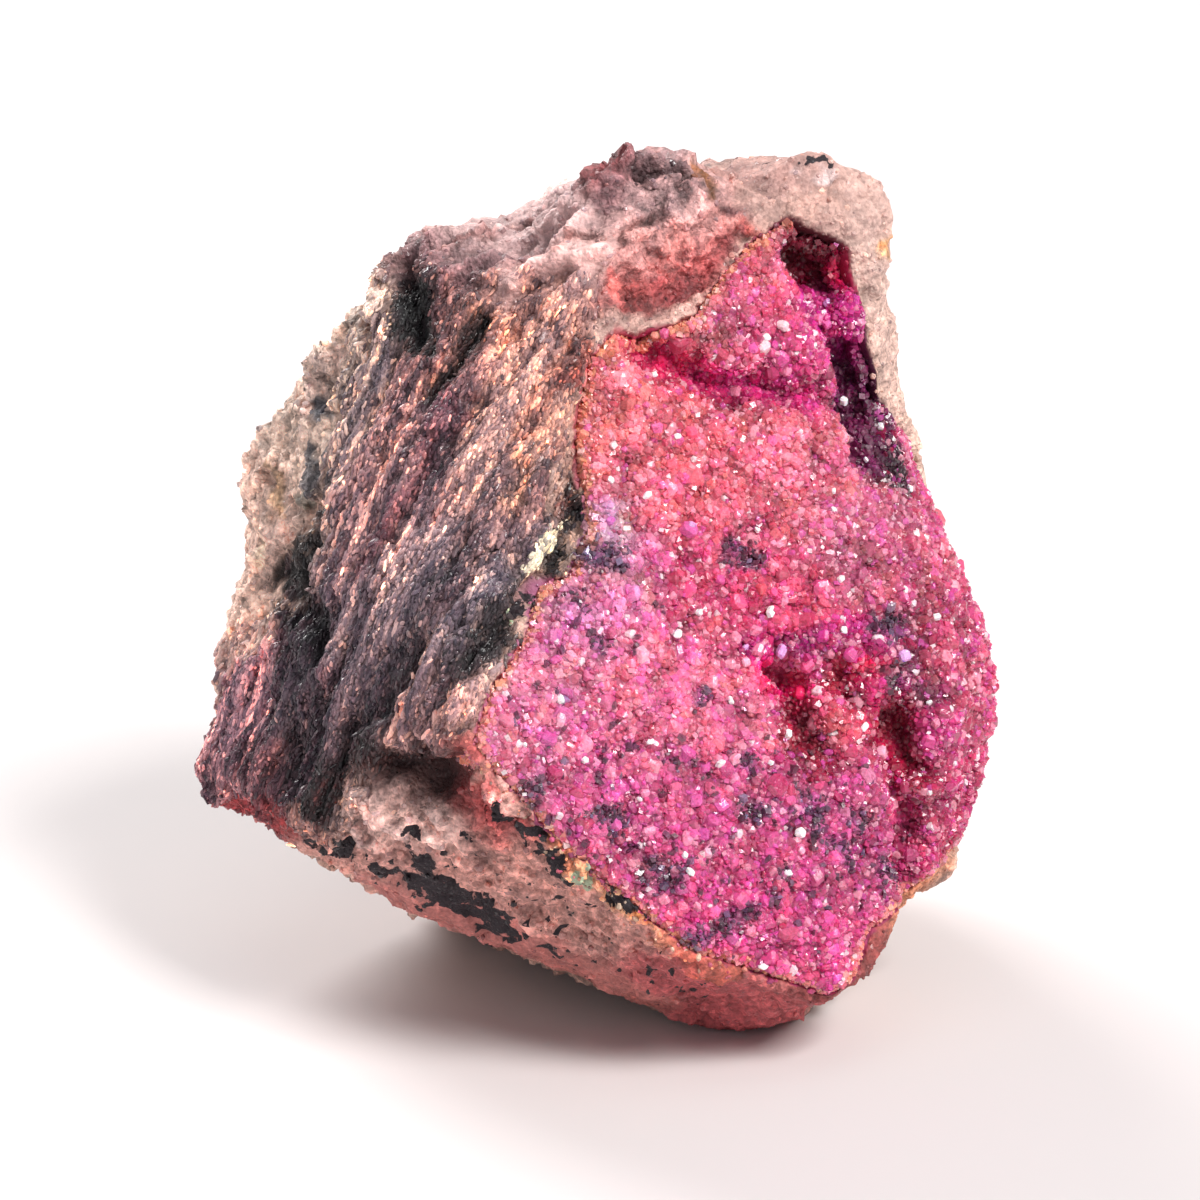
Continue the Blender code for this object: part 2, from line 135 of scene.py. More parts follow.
@dataclass(frozen=True)
class FrontView:
    """The view from the front, slightly from above, that shows the druse and the fibrous face.

    Attributes:
        aim: point that the camera looks at, in metres.
        distance: from the aim to the camera, in metres.
        elevation: angle of the camera over the horizon, in radians.
        lens: focal length in millimetres.
        sensor: width of the square sensor in millimetres.
    """

    aim: tuple[float, float, float] = (0.00045, -0.00625, 0.03126)
    distance: float = 0.330
    elevation: float = math.radians(18.0)
    lens: float = 131.373
    sensor: float = 36.0

    @property
    def forward(self) -> Vector:
        """Direction in which the camera looks."""
        return Vector((0.0, math.cos(self.elevation), -math.sin(self.elevation)))

    @property
    def position(self) -> Vector:
        """Where the camera stands, in metres."""
        return Vector(self.aim) - self.forward * self.distance

    def direction(self, place: Place) -> Vector:
        """Direction from the camera through a place of the front view.

        Args:
            place: distances from the frame's left and upper edge, in frame units.

        Returns:
            The unit direction.
        """
        right = Vector((1.0, 0.0, 0.0))
        up = right.cross(self.forward)
        reach = self.sensor / self.lens / FRAME_UNITS
        across = (place[0] - FRAME_UNITS / 2.0) * reach
        upward = (FRAME_UNITS / 2.0 - place[1]) * reach
        return (self.forward + right * across + up * upward).normalized()

    def seen_at(self, points: Array) -> Array:
        """Places of the front view where points appear, in frame units.

        Args:
            points: one row for each point, in millimetres.

        Returns:
            One row for each point.
        """
        forward = np.array(self.forward)
        right = np.array((1.0, 0.0, 0.0))
        up = np.cross(right, forward)
        offsets = points * MM - np.array(self.position)
        reach = (offsets @ forward) * self.sensor / self.lens / FRAME_UNITS
        middle = FRAME_UNITS / 2.0
        return np.stack((middle + offsets @ right / reach, middle - offsets @ up / reach), axis=1)

    def set_up_camera(self) -> None:
        """Make the scene's camera."""
        data = bpy.data.cameras.new("front_camera")
        data.lens = self.lens
        data.sensor_width = self.sensor
        camera = bpy.data.objects.new("front_camera", data)
        camera.location = self.position
        camera.rotation_euler = self.forward.to_track_quat("-Z", "Y").to_euler()
        bpy.context.scene.collection.objects.link(camera)
        bpy.context.scene.camera = camera


class PackedSkin:
    """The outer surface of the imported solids, which carries every spot and stroke."""

    def __init__(self, view: FrontView) -> None:
        """Read both solids into search trees."""
        self.view = view
        self.trees = {name: self._tree(name) for name in (ROCK_NODE, CRUST_NODE)}

    @staticmethod
    def _tree(name: str) -> BVHTree:
        """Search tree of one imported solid."""
        packed = bmesh.new()
        packed.from_mesh(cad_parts[name].data)
        tree = BVHTree.FromBMesh(packed)
        packed.free()
        return tree

    def land(self, place: Place) -> Vector | None:
        """Point of the surface under a place, in millimetres.

        Args:
            place: two numbers in the front view, or a point in millimetres.

        Returns:
            The point, or None where the front view shows no stone.
        """
        hits = []
        if len(place) == 2:
            start = self.view.position
            for tree in self.trees.values():
                point, _, _, distance = tree.ray_cast(start, self.view.direction(place))
                if point is not None:
                    hits.append((distance, point))
        else:
            for tree in self.trees.values():
                point, _, _, distance = tree.find_nearest(Vector(place) * MM)
                hits.append((distance, point))
        if not hits:
            return None
        return min(hits, key=lambda hit: hit[0])[1] / MM

    def trail(self, path: Sequence[Place]) -> Array:
        """Points along a path over the surface, in millimetres.

        Args:
            path: corners of the path, each a place.

        Returns:
            One row for each point that lands on the stone.
        """
        stops = [Vector(path[0])]
        for start, end in zip(path, path[1:]):
            start, end = Vector(start), Vector(end)
            steps = DEEP_STEPS
            if len(start) == 2:
                steps = max(1, round((end - start).length / CAST_STEP))
            stops.extend(start.lerp(end, step / steps) for step in range(1, steps + 1))
        landed = [self.land(tuple(stop)) for stop in stops]
        return np.array([point for point in landed if point is not None]).reshape(-1, 3)

    def facing(self, name: str, points: Array, normals: Array) -> Array:
        """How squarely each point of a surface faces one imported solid.

        Args:
            name: the solid's node.
            points: one row for each point, in millimetres.
            normals: outward direction at each point.

        Returns:
            1 where the nearest point of the solid lies straight ahead, -1 where it lies behind.
        """
        tree = self.trees[name]
        nearest = np.array([tree.find_nearest(Vector(point) * MM)[0] for point in points]) / MM
        ahead = nearest - points
        length = np.maximum(np.linalg.norm(ahead, axis=1), TINY)
        return (normals * ahead).sum(axis=1) / length

    def gap_to(self, name: str, points: Array) -> Array:
        """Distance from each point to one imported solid, in millimetres."""
        tree = self.trees[name]
        return np.array([tree.find_nearest(Vector(point) * MM)[3] / MM for point in points])


def distance_to_trail(points: Array, trail: Array) -> Array:
    """Distance from each point to the line through a trail's points.

    Args:
        points: one row for each point.
        trail: one row for each stop of the trail.

    Returns:
        One distance for each point, very large for an empty trail.
    """
    nearest = np.full(len(points), FAR_AWAY)
    if len(trail) == 1:
        return np.linalg.norm(points - trail[0], axis=1)
    for start, end in zip(trail, trail[1:]):
        along = end - start
        length = max(float(along @ along), TINY_SQUARE)
        share = np.clip((points - start) @ along / length, 0.0, 1.0)
        offset = points - start - share[:, None] * along
        nearest = np.minimum(nearest, np.linalg.norm(offset, axis=1))
    return nearest


@dataclass(frozen=True)
class Outline:
    """A closed outline in the front view, with a soft edge.

    Attributes:
        softness: half the width of the soft edge, in frame units.
        corners: its corners, in frame units.
    """

    softness: float
    corners: tuple[Place, ...]

    def share(self, seen: Array) -> Array:
        """How far each place of the front view lies inside.

        Args:
            seen: one row for each place.

        Returns:
            1 well inside, 0 well outside.
        """
        share = np.zeros(len(seen))
        ends = (*self.corners[1:], self.corners[0])
        for angle in np.arange(0.0, 2.0 * math.pi, 2.0 * math.pi / EDGE_SAMPLES):
            x = seen[:, 0] + self.softness * math.cos(angle)
            y = seen[:, 1] + self.softness * math.sin(angle)
            within = np.zeros(len(seen), bool)
            for (x0, y0), (x1, y1) in zip(self.corners, ends):
                if y0 != y1:
                    within ^= ((y0 > y) != (y1 > y)) & (x < x0 + (y - y0) * (x1 - x0) / (y1 - y0))
            share += within / EDGE_SAMPLES
        return share


# How steep chips are, how far apart the numbers lie that tilt them, how fast domes fall off and
# where their height is 0, and how fast the ridges between furrows fall off
CHIP_SLOPE = 1.4
CHIP_TILT_STEP = 37.0
DOME_FALL = 1.6
DOME_LEVEL = 0.7
RIDGE_FALL = 2.6


@dataclass(frozen=True)
class Layer:
    """One layer of uneven heights or shades over points, above and below 0.

    Attributes:
        size: size of its lumps, or width of its streaks, in millimetres.
        strength: how high or how marked it is.
        shift: moves the pattern.
        octaves: how many ever finer clouds lie on one another.
    """

    size: float
    strength: float = 1.0
    shift: float = 0.0
    octaves: int = 2

    def clouds(self, points: Array) -> Array:
        """Soft lumps and hollows."""
        rows = points / self.size + self.shift
        return np.array([noise.fractal(row, 1.0, 2.0, self.octaves) for row in rows]) * self.strength

    def chips(self, points: Array) -> Array:
        """Chips of a broken face: cells that are flat, each tilted its own way.

        Args:
            points: one row for each point, in millimetres.

        Returns:
            One height for each point.
        """
        heights = []
        for row in points / self.size + self.shift:
            place = Vector(row)
            cell = noise.voronoi(place)[1][0]
            tilt = noise.cell_vector(cell * CHIP_TILT_STEP) - Vector((0.5, 0.5, 0.5))
            heights.append((place - cell).dot(tilt.normalized()) * CHIP_SLOPE)
        return np.array(heights) * self.strength

    def domes(self, points: Array) -> Array:
        """Rounded domes side by side, with creases between them."""
        rows = points / self.size + self.shift
        tops = np.array([1.0 - DOME_FALL * noise.voronoi(row)[0][0] ** 2 for row in rows])
        return (tops - DOME_LEVEL) * self.strength

    def streaks(
        self,
        points: Array,
        length: float,
        across: Array = ACROSS_FIBRES,
        along: Array = ALONG_FIBRES,
    ) -> Array:
        """Soft streaks, along the fibrous face's fibres unless other directions are given.

        Args:
            points: one row for each point, in millimetres.
            length: how many times longer than wide a streak is.
            across: direction across the streaks.
            along: direction of the streaks.

        Returns:
            One height for each point.
        """
        axes = np.stack((across, along / length, np.cross(across, along)), axis=1)
        rows = points @ axes / self.size + self.shift
        return np.array([noise.noise(row) for row in rows]) * self.strength

    def ridges(self, points: Array, length: float) -> Array:
        """Narrow ridges along the fibrous face's fibres, so many times longer than wide."""
        soft = Layer(self.size, shift=self.shift).streaks(points, length)
        return (1.0 - RIDGE_FALL * np.abs(soft)) * self.strength


@dataclass(frozen=True)
class Warp:
    """Uneven shifts that make drawn edges straggle."""

    size: float
    octaves: int
    shifts: tuple[float, float, float]

    def at(self, points: Array) -> Array:
        """Shift at each point, within about 1 along each axis."""
        layers = (Layer(self.size, shift=shift, octaves=self.octaves) for shift in self.shifts)
        return np.stack([layer.clouds(points) for layer in layers], axis=1)


# ---------------------------------------------------------------- shader graphs


class Channel:
    """A shader socket that takes part in arithmetic; each operation adds a Math node."""

    def __init__(self, graph: "Graph", socket: bpy.types.NodeSocket) -> None:
        """Wrap a socket of a graph."""
        self.graph = graph
        self.socket = socket

    def _math(self, operation: str, *values: "Channel | float") -> "Channel":
        """Result of a Math node on the values, in their order."""
        sockets = dict(enumerate(values))
        return self.graph.node("ShaderNodeMath", {"operation": operation}, sockets)

    def __add__(self, other: "Channel | float") -> "Channel":
        """Sum."""
        return self._math("ADD", self, other)

    __radd__ = __add__

    def __mul__(self, other: "Channel | float") -> "Channel":
        """Product."""
        return self._math("MULTIPLY", self, other)

    __rmul__ = __mul__

    def __sub__(self, other: "Channel | float") -> "Channel":
        """Difference."""
        return self._math("SUBTRACT", self, other)

    def __rsub__(self, other: "Channel | float") -> "Channel":
        """Difference with the operands swapped."""
        return self._math("SUBTRACT", other, self)

    def clipped(self) -> "Channel":
        """The value held within 0 and 1."""
        return self._math("MINIMUM", self._math("MAXIMUM", self, 0.0), 1.0)

    def rise(self, start: float, end: float) -> "Channel":
        """Smooth rise from 0 at start to 1 at end."""
        return self.graph.node(
            "ShaderNodeMapRange",
            {"interpolation_type": "SMOOTHSTEP"},
            {"Value": self, "From Min": start, "From Max": end},
        )


class Graph:
    """The node tree of one finish."""

    def __init__(self, name: str) -> None:
        """Start a material with an empty tree.

        Args:
            name: name of the material.
        """
        self.material = bpy.data.materials.new(name)
        self.material.use_nodes = True
        self.tree = self.material.node_tree
        self.tree.nodes.clear()

    def node(
        self,
        kind: str,
        settings: dict[str, object] | None = None,
        sockets: dict[str | int, object] | None = None,
        output: str | int = 0,
    ) -> Channel:
        """Add any node.

        Args:
            kind: the node's type.
            settings: properties that are set before the sockets.
            sockets: values of, or channels linked to, the inputs, by name or number.
            output: name or number of the output to return.

        Returns:
            The output as a channel.
        """
        made = self.tree.nodes.new(kind)
        for name, value in (settings or {}).items():
            setattr(made, name, value)
        for name, value in (sockets or {}).items():
            if isinstance(value, Channel):
                self.tree.links.new(value.socket, made.inputs[name])
            else:
                made.inputs[name].default_value = value
        return Channel(self, made.outputs[output])

    def attribute(self, name: str, output: str = "Fac") -> Channel:
        """A value that the mesh carries."""
        return self.node("ShaderNodeAttribute", {"attribute_name": name}, output=output)

    def in_millimetres(self) -> Channel:
        """Object coordinates in millimetres."""
        place = self.node("ShaderNodeTexCoord", output="Object")
        return self.node(
            "ShaderNodeVectorMath", {"operation": "SCALE"}, {0: place, "Scale": 1.0 / MM}
        )

    def along_fibres(self, place: Channel, stretch: float) -> Channel:
        """Coordinates turned to the fibres and drawn out along them.

        Args:
            place: coordinates in millimetres.
            stretch: how many times they are drawn out.

        Returns:
            The turned coordinates.
        """
        parts = {}
        axes = {"X": (ACROSS_FIBRES, 1.0), "Y": (ALONG_FIBRES, 1.0 / stretch), "Z": (FIBROUS_OUT, 1.0)}
        for name, (axis, scale) in axes.items():
            parts[name] = self.node(
                "ShaderNodeVectorMath",
                {"operation": "DOT_PRODUCT"},
                {0: place, 1: tuple(axis * scale)},
                "Value",
            )
        return self.node("ShaderNodeCombineXYZ", sockets=parts)

    def clouds(self, place: Channel, size: float, detail: float = 3.0, rough: float = 0.6) -> Channel:
        """Noise from 0 to 1 whose lumps have a size in millimetres."""
        return self.node(
            "ShaderNodeTexNoise",
            sockets={"Vector": place, "Scale": 1.0 / size, "Detail": detail, "Roughness": rough},
        )

    def grains(self, place: Channel, size: float, output: str = "Color") -> Channel:
        """Cells of a size in millimetres, each with a random colour."""
        return self.node(
            "ShaderNodeTexVoronoi", sockets={"Vector": place, "Scale": 1.0 / size}, output=output
        )

    def blend(self, share: Channel | float, first: object, second: object, how: str = "MIX") -> Channel:
        """Mix of two colours.

        Args:
            share: share of the second colour.
            first: colour or channel under the mix.
            second: colour or channel mixed in.
            how: the Mix node's blend type.

        Returns:
            The mixed colour.
        """
        colours = [value if isinstance(value, Channel) else (*value, 1.0) for value in (first, second)]
        settings = {"data_type": "RGBA", "blend_type": how, "clamp_result": False}
        return self.node("ShaderNodeMix", settings, {0: share, 6: colours[0], 7: colours[1]}, 2)

    def scaled(self, colour: Channel, factor: Channel | float) -> Channel:
        """A colour made lighter or darker by a factor."""
        return self.node(
            "ShaderNodeVectorMath", {"operation": "SCALE"}, {0: colour, "Scale": factor}
        )

    def bump(self, height: Channel, depth: float) -> Channel:
        """Normal of a height field whose full range is a depth in millimetres."""
        return self.node(
            "ShaderNodeBump", sockets={"Height": height, "Distance": depth * MM, "Strength": 1.0}
        )

    def finish(self, **sockets: object) -> Material:
        """Close the graph with a Principled shader.

        Args:
            sockets: the shader's inputs, with an underscore for each space.

        Returns:
            The finished material.
        """
        named = {name.replace("_", " "): value for name, value in sockets.items()}
        shader = self.node("ShaderNodeBsdfPrincipled", sockets=named)
        end = self.tree.nodes.new("ShaderNodeOutputMaterial")
        self.tree.links.new(shader.socket, end.inputs["Surface"])
        return self.material


# ---------------------------------------------------------------- meshes and pieces


# Packed points nearer to one another than this are one point, in millimetres
SAME_POINT = 0.002


def merged_copy(name: str) -> Body:
    """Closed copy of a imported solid, whose triangles come loose.

    Args:
        name: its node.

    Returns:
        The copy, in metres.
    """
    copy = bmesh.new()
    copy.from_mesh(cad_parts[name].data)
    bmesh.ops.remove_doubles(copy, verts=copy.verts, dist=SAME_POINT * MM)
    return copy


def remeshed(source: Body, name: str, voxel: float) -> Body:
    """Even mesh of small quads over a closed body.

    Args:
        source: the body, which is freed.
        name: name for the working mesh.
        voxel: edge of a quad in millimetres.

    Returns:
        The new mesh.
    """
    mesh = bpy.data.meshes.new(name)
    source.to_mesh(mesh)
    source.free()
    body = bpy.data.objects.new(name, mesh)
    bpy.context.scene.collection.objects.link(body)
    grid = body.modifiers.new("grid", "REMESH")
    grid.mode = "VOXEL"
    grid.voxel_size = voxel * MM
    bpy.context.view_layer.update()
    depsgraph = bpy.context.evaluated_depsgraph_get()
    even = bmesh.new()
    even.from_object(body, depsgraph)
    bpy.data.objects.remove(body)
    bpy.data.meshes.remove(mesh)
    return even


def smooth(body: Body, rounds: int, far: Array, far_rounds: int) -> None:
    """Even out a mesh's points a number of times.

    Args:
        body: the mesh.
        rounds: how often for every point.
        far: which points are evened out more often.
        far_rounds: how often more for those.
    """
    chosen = [vertex for vertex, is_far in zip(body.verts, far) if is_far]
    for points, times in ((body.verts, rounds), (chosen, far_rounds)):
        for _ in range(times):
            bmesh.ops.smooth_vert(
                body, verts=points, factor=0.5, use_axis_x=True, use_axis_y=True, use_axis_z=True
            )


def places_of(body: Body) -> Array:
    """The points of a mesh, in millimetres."""
    return np.array([vertex.co for vertex in body.verts]) / MM


def normals_of(body: Body) -> Array:
    """The outward directions at a mesh's points."""
    body.normal_update()
    return np.array([vertex.normal for vertex in body.verts])


def move_points(body: Body, offsets: Array) -> None:
    """Move every point of a mesh.

    Args:
        body: the mesh, in metres.
        offsets: how far each point moves, in millimetres.
    """
    for vertex, offset in zip(body.verts, offsets):
        vertex.co += Vector(offset) * MM
    body.normal_update()


def add_attribute(mesh: Mesh, name: str, values: Array) -> None:
    """Store a value or a colour at each point of a mesh.

    Args:
        mesh: the mesh.
        name: name of the attribute, which a material reads.
        values: one number or one colour for each point.
    """
    if values.ndim == 1:
        layer = mesh.attributes.new(name, "FLOAT", "POINT")
        layer.data.foreach_set("value", values.astype(np.float32))
    else:
        layer = mesh.attributes.new(name, "FLOAT_COLOR", "POINT")
        padded = np.ones((len(values), 4), np.float32)
        padded[:, :3] = values
        layer.data.foreach_set("color", padded.ravel())


def place_piece(
    name: str, mesh: Mesh, material: Material, replaces: str | None = None
) -> None:
    """Put a finished mesh into the scene as a piece of the specimen.

    Args:
        name: name of the piece.
        mesh: its mesh, in metres, in place.
        material: its finish.
        replaces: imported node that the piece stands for.
    """
    mesh.name = name
    mesh.materials.clear()
    mesh.materials.append(material)
    piece = bpy.data.objects.new(name, mesh)
    bpy.context.scene.collection.objects.link(piece)
    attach(piece, "root")
    if replaces:
        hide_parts(replaces)
    log.info("%s: %d points, %d faces", name, len(mesh.vertices), len(mesh.polygons))


# ---------------------------------------------------------------- zones, patches and strokes


@dataclass(frozen=True)
class Zone:
    """A broad area of one colour around a path; neighbouring zones run into one another.

    Attributes:
        name: what the area is.
        colour: its colour.
        path: its middle line.
        reach: how far it reaches, in millimetres.
        rough: how broken the surface is there, 1 for as usual.
    """

    name: str
    colour: Colour
    path: tuple[Place, ...]
    reach: float = 3.0
    rough: float = 1.0


@dataclass(frozen=True)
class Stroke:
    """A hollow or a swelling along a path.

    Attributes:
        name: what the form is.
        path: its middle line.
        radius: half its width in millimetres.
        height: how far it rises, or sinks if negative, in millimetres.
    """

    name: str
    path: tuple[Place, ...]
    radius: float
    height: float


class Mineral(Enum):
    """Minerals and stains that lie on the host rock as patches with crisp edges, the topmost last."""

    CREAM = ("cream", tone(240, 224, 198))
    GREEN = ("malachite", tone(172, 184, 156))
    BLACK = ("manganese", tone(38, 27, 34))

    def __init__(self, label: str, tint: Colour) -> None:
        """Take the label of the mineral's mask and its colour."""
        self.label = label
        self.tint = tint


@dataclass(frozen=True)
class Patch:
    """A patch of a mineral along a path.

    Attributes:
        path: its middle line.
        radius: half its width in millimetres.
    """

    path: tuple[Place, ...]
    radius: float


def blend_zones(skin: PackedSkin, points: Array, zones: Sequence[Zone]) -> tuple[Array, Array]:
    """Colour and brokenness at each point, blended from the zones around it.

    Args:
        skin: surface that carries the zones.
        points: one row for each point, in millimetres.
        zones: the zones, of which the last also holds far from every other.

    Returns:
        One colour and one brokenness for each point.
    """
    total = np.full(len(points), FAR_SHARE)
    colours = np.outer(total, zones[-1].colour)
    rough = total * zones[-1].rough
    for zone in zones:
        distance = distance_to_trail(points, skin.trail(zone.path))
        weight = np.exp(-((distance / zone.reach) ** 2)) / zone.reach**2
        total += weight
        colours += weight[:, None] * np.array(zone.colour)
        rough += weight * zone.rough
    return colours / total[:, None], rough / total


def stroke_heights(skin: PackedSkin, points: Array, strokes: Iterable[Stroke]) -> Array:
    """Height that the strokes add to a surface.

    Args:
        skin: surface that carries the strokes.
        points: one row for each point, in millimetres.
        strokes: the strokes.

    Returns:
        One height for each point, in millimetres.
    """
    heights = np.zeros(len(points))
    for stroke in strokes:
        distance = distance_to_trail(points, skin.trail(stroke.path))
        heights += stroke.height * (1.0 - fade(distance, 0.0, stroke.radius))
    return heights


def patch_share(skin: PackedSkin, points: Array, patches: Iterable[Patch], margin: float) -> Array:
    """How far inside a mineral's patches each point lies.

    Args:
        skin: surface that carries the patches.
        points: one row for each point, in millimetres.
        patches: the patches.
        margin: width of their soft edge in millimetres.

    Returns:
        1 well inside a patch, 0.5 on its outline, 0 outside.
    """
    share = np.zeros(len(points))
    for patch in patches:
        distance = distance_to_trail(points, skin.trail(patch.path)) - patch.radius
        share = np.maximum(share, 1.0 - fade(distance, -margin, margin))
    return share


# ---------------------------------------------------------------- scattered crystals and grains


@dataclass
class Sites:
    """Places on a mesh, one row for each.

    Attributes:
        places: in millimetres.
        normals: outward directions.
        corners: number of a mesh point beside each place.
    """

    places: Array
    normals: Array
    corners: Array

    def picked(self, kept: Array) -> "Sites":
        """Some of the places."""
        return Sites(self.places[kept], self.normals[kept], self.corners[kept])


def draw_sites(mesh: Mesh, density: float, rng: Draws, weights: Array) -> Sites:
    """Random places on a mesh.

    Args:
        mesh: the mesh, in metres.
        density: how many places to draw for each square millimetre.
        rng: source of the draws.
        weights: share of the density that holds at each point of the mesh.

    Returns:
        The places.
    """
    mesh.calc_loop_triangles()
    numbers = np.zeros(len(mesh.loop_triangles) * 3, np.int32)
    mesh.loop_triangles.foreach_get("vertices", numbers)
    numbers = numbers.reshape(-1, 3)
    points = np.zeros(len(mesh.vertices) * 3, np.float32)
    mesh.vertices.foreach_get("co", points)
    triangles = points.reshape(-1, 3).astype(float)[numbers] / MM
    first = triangles[:, 0]
    one, two = triangles[:, 1] - first, triangles[:, 2] - first
    cross = np.cross(one, two)
    length = np.linalg.norm(cross, axis=1)
    area = length / 2.0 * weights[numbers].mean(axis=1)
    count = int(density * area.sum())
    chosen = rng.choice(len(area), size=count, p=area / area.sum())
    along_one, along_two = rng.random(count), rng.random(count)
    beyond = along_one + along_two > 1.0
    along_one[beyond], along_two[beyond] = 1.0 - along_one[beyond], 1.0 - along_two[beyond]
    places = first[chosen] + along_one[:, None] * one[chosen] + along_two[:, None] * two[chosen]
    return Sites(places, cross[chosen] / length[chosen][:, None], numbers[chosen, 0])


def thin_out(
    places: Array, sizes: Array, crowding: float, taken: list[tuple[Array, float]]
) -> Array:
    """Choose the places that keep their distance from one another and from those taken.

    Args:
        places: one row for each place, in millimetres.
        sizes: size of the crystal at each place.
        crowding: smallest distance as a share of two neighbours' mean size.
        taken: place and size of every crystal so far, which grows.

    Returns:
        Numbers of the places that are kept.
    """
    tree = KDTree(len(places))
    for index, place in enumerate(places):
        tree.insert(place, index)
    tree.balance()
    free = np.ones(len(places), bool)
    largest = float(sizes.max())

    def clear_around(place: Array, size: float) -> None:
        """Strike out the places too near to a crystal.

        Args:
            place: where the crystal is.
            size: its size.
        """
        for _, other, distance in tree.find_range(place, (size + largest) / 2.0 * crowding):
            if distance < (size + sizes[other]) / 2.0 * crowding:
                free[other] = False

    for place, size in taken:
        clear_around(place, size)
    kept = []
    for index in range(len(places)):
        if free[index]:
            kept.append(index)
            clear_around(places[index], sizes[index])
    taken.extend((places[index], float(sizes[index])) for index in kept)
    return np.array(kept, int)


def turned_up(normals: Array, lean: Array, rng: Draws) -> Array:
    """Rotations that stand shapes on a surface, each leaning and spun at random.

    Args:
        normals: outward direction at each place.
        lean: how far each shape leans, 0 for not at all.
        rng: source of the draws.

    Returns:
        One 3 by 3 matrix for each place.
    """
    away = rng.normal(size=normals.shape)
    away /= np.linalg.norm(away, axis=1)[:, None]
    up = normals + away * lean[:, None]
    up /= np.linalg.norm(up, axis=1)[:, None]
    side = np.cross(up, rng.normal(size=normals.shape))
    side /= np.linalg.norm(side, axis=1)[:, None]
    return np.stack((side, np.cross(up, side), up), axis=2)


def laid_along(normals: Array, spread: float, rng: Draws) -> Array:
    """Rotations that lay shapes on a surface with their Y axis along the fibres.

    Args:
        normals: outward direction at each place.
        spread: how far the shapes turn away from the fibres at random.
        rng: source of the draws.

    Returns:
        One 3 by 3 matrix for each place.
    """
    along = ALONG_FIBRES + rng.normal(0.0, spread, normals.shape)
    along -= (along * normals).sum(axis=1)[:, None] * normals
    along /= np.linalg.norm(along, axis=1)[:, None]
    return np.stack((np.cross(along, normals), along, normals), axis=2)


def joined_copies(
    name: str, shape: Body, places: Array, turns: Array, stretch: Array
) -> Mesh:
    """One mesh of many copies of a shape.

    Args:
        name: name of the mesh.
        shape: the shape, which is freed.
        places: where each copy goes, in millimetres.
        turns: rotation of each copy.
        stretch: size of each copy along its own axes, in millimetres.

    Returns:
        The joined mesh, whose points follow one another copy by copy.
    """
    shape.verts.index_update()
    corners = np.array([vertex.co for vertex in shape.verts])
    faces = [[vertex.index for vertex in face.verts] for face in shape.faces]
    shape.free()
    moved = np.einsum("nij,nkj->nki", turns, corners[None] * stretch[:, None]) + places[:, None]
    width = len(corners)
    joined = [
        tuple(corner + width * copy for corner in face) for copy in range(len(places)) for face in faces
    ]
    mesh = bpy.data.meshes.new(name)
    mesh.from_pydata((moved.reshape(-1, 3) * MM).tolist(), [], joined)
    return mesh


# Edge of a rhomb of unit size, and how much of it a blunt one loses
RHOMB_EDGE = 0.74
BLUNTING = 0.16


class Habit(Enum):
    """Shapes of crystals and grains."""

    RHOMB = "rhomb"
    BLUNT_RHOMB = "blunt_rhomb"
    PEBBLE = "pebble"

    def shape(self) -> Body:
        """One closed crystal of about unit size around the origin.

        Returns:
            The crystal, its long axis along Z.
        """
        made = bmesh.new()
        if self is Habit.PEBBLE:
            bmesh.ops.create_icosphere(made, subdivisions=1, radius=0.5)
            return made
        bmesh.ops.create_cube(made, size=RHOMB_EDGE)
        if self is Habit.BLUNT_RHOMB:
            bmesh.ops.bevel(
                made, geom=made.edges[:], offset=BLUNTING, segments=1, profile=0.5,
                affect="EDGES", material=-1,
            )
        onto_corner = Vector((1.0, 1.0, 1.0)).rotation_difference(Vector((0.0, 0.0, 1.0)))
        bmesh.ops.rotate(made, verts=made.verts, matrix=onto_corner.to_matrix())
        return made


def scatter(
    name: str, habit: Habit, sites: Sites, turns: Array, stretch: Array, lift: Array,
    tints: Array, dullness: Array,
) -> Mesh:
    """One mesh of copies of a shape, each with a tint and a dullness.

    Args:
        name: name of the mesh.
        habit: the shape.
        sites: where each copy goes.
        turns: rotation of each copy.
        stretch: size of each copy along its own axes, in millimetres.
        lift: how far each copy stands above the surface, in millimetres.
        tints: colour of each copy.
        dullness: how dull each copy is, from 0 to 1.

    Returns:
        The mesh.
    """
    places = sites.places + sites.normals * lift[:, None]
    mesh = joined_copies(name, habit.shape(), places, turns, stretch)
    width = len(mesh.vertices) // len(places)
    add_attribute(mesh, "tint", np.repeat(tints, width, axis=0))
    add_attribute(mesh, "dullness", np.repeat(dullness, width))
    return mesh


# ---------------------------------------------------------------- host rock


FIBROUS_FACE = Outline(12.0, (
    (398, 262), (440, 290), (520, 296), (590, 282), (602, 353), (596, 400), (590, 440), (596, 505),
    (572, 540), (545, 596), (525, 645), (498, 690), (455, 735), (392, 750), (362, 784), (334, 838),
    (280, 815), (240, 806), (190, 800), (190, 745), (222, 660), (262, 640), (300, 596), (318, 520),
    (330, 430), (352, 362), (374, 310),
))

# Where crystals and stains straggle over the druse's lower left edge
RAGGED_EDGE = Outline(12.0, (
    (465, 735), (510, 780), (560, 815), (620, 870), (690, 915), (760, 975), (700, 985), (610, 930),
    (540, 885), (480, 835), (440, 780),
))

# The streaky ledges of the top, left of the recess
LEDGE_TOP = Outline(10.0, (
    (375, 262), (440, 226), (520, 203), (590, 172), (640, 206), (722, 198), (735, 226), (664, 240),
    (624, 262), (600, 292), (520, 300), (440, 296),
))

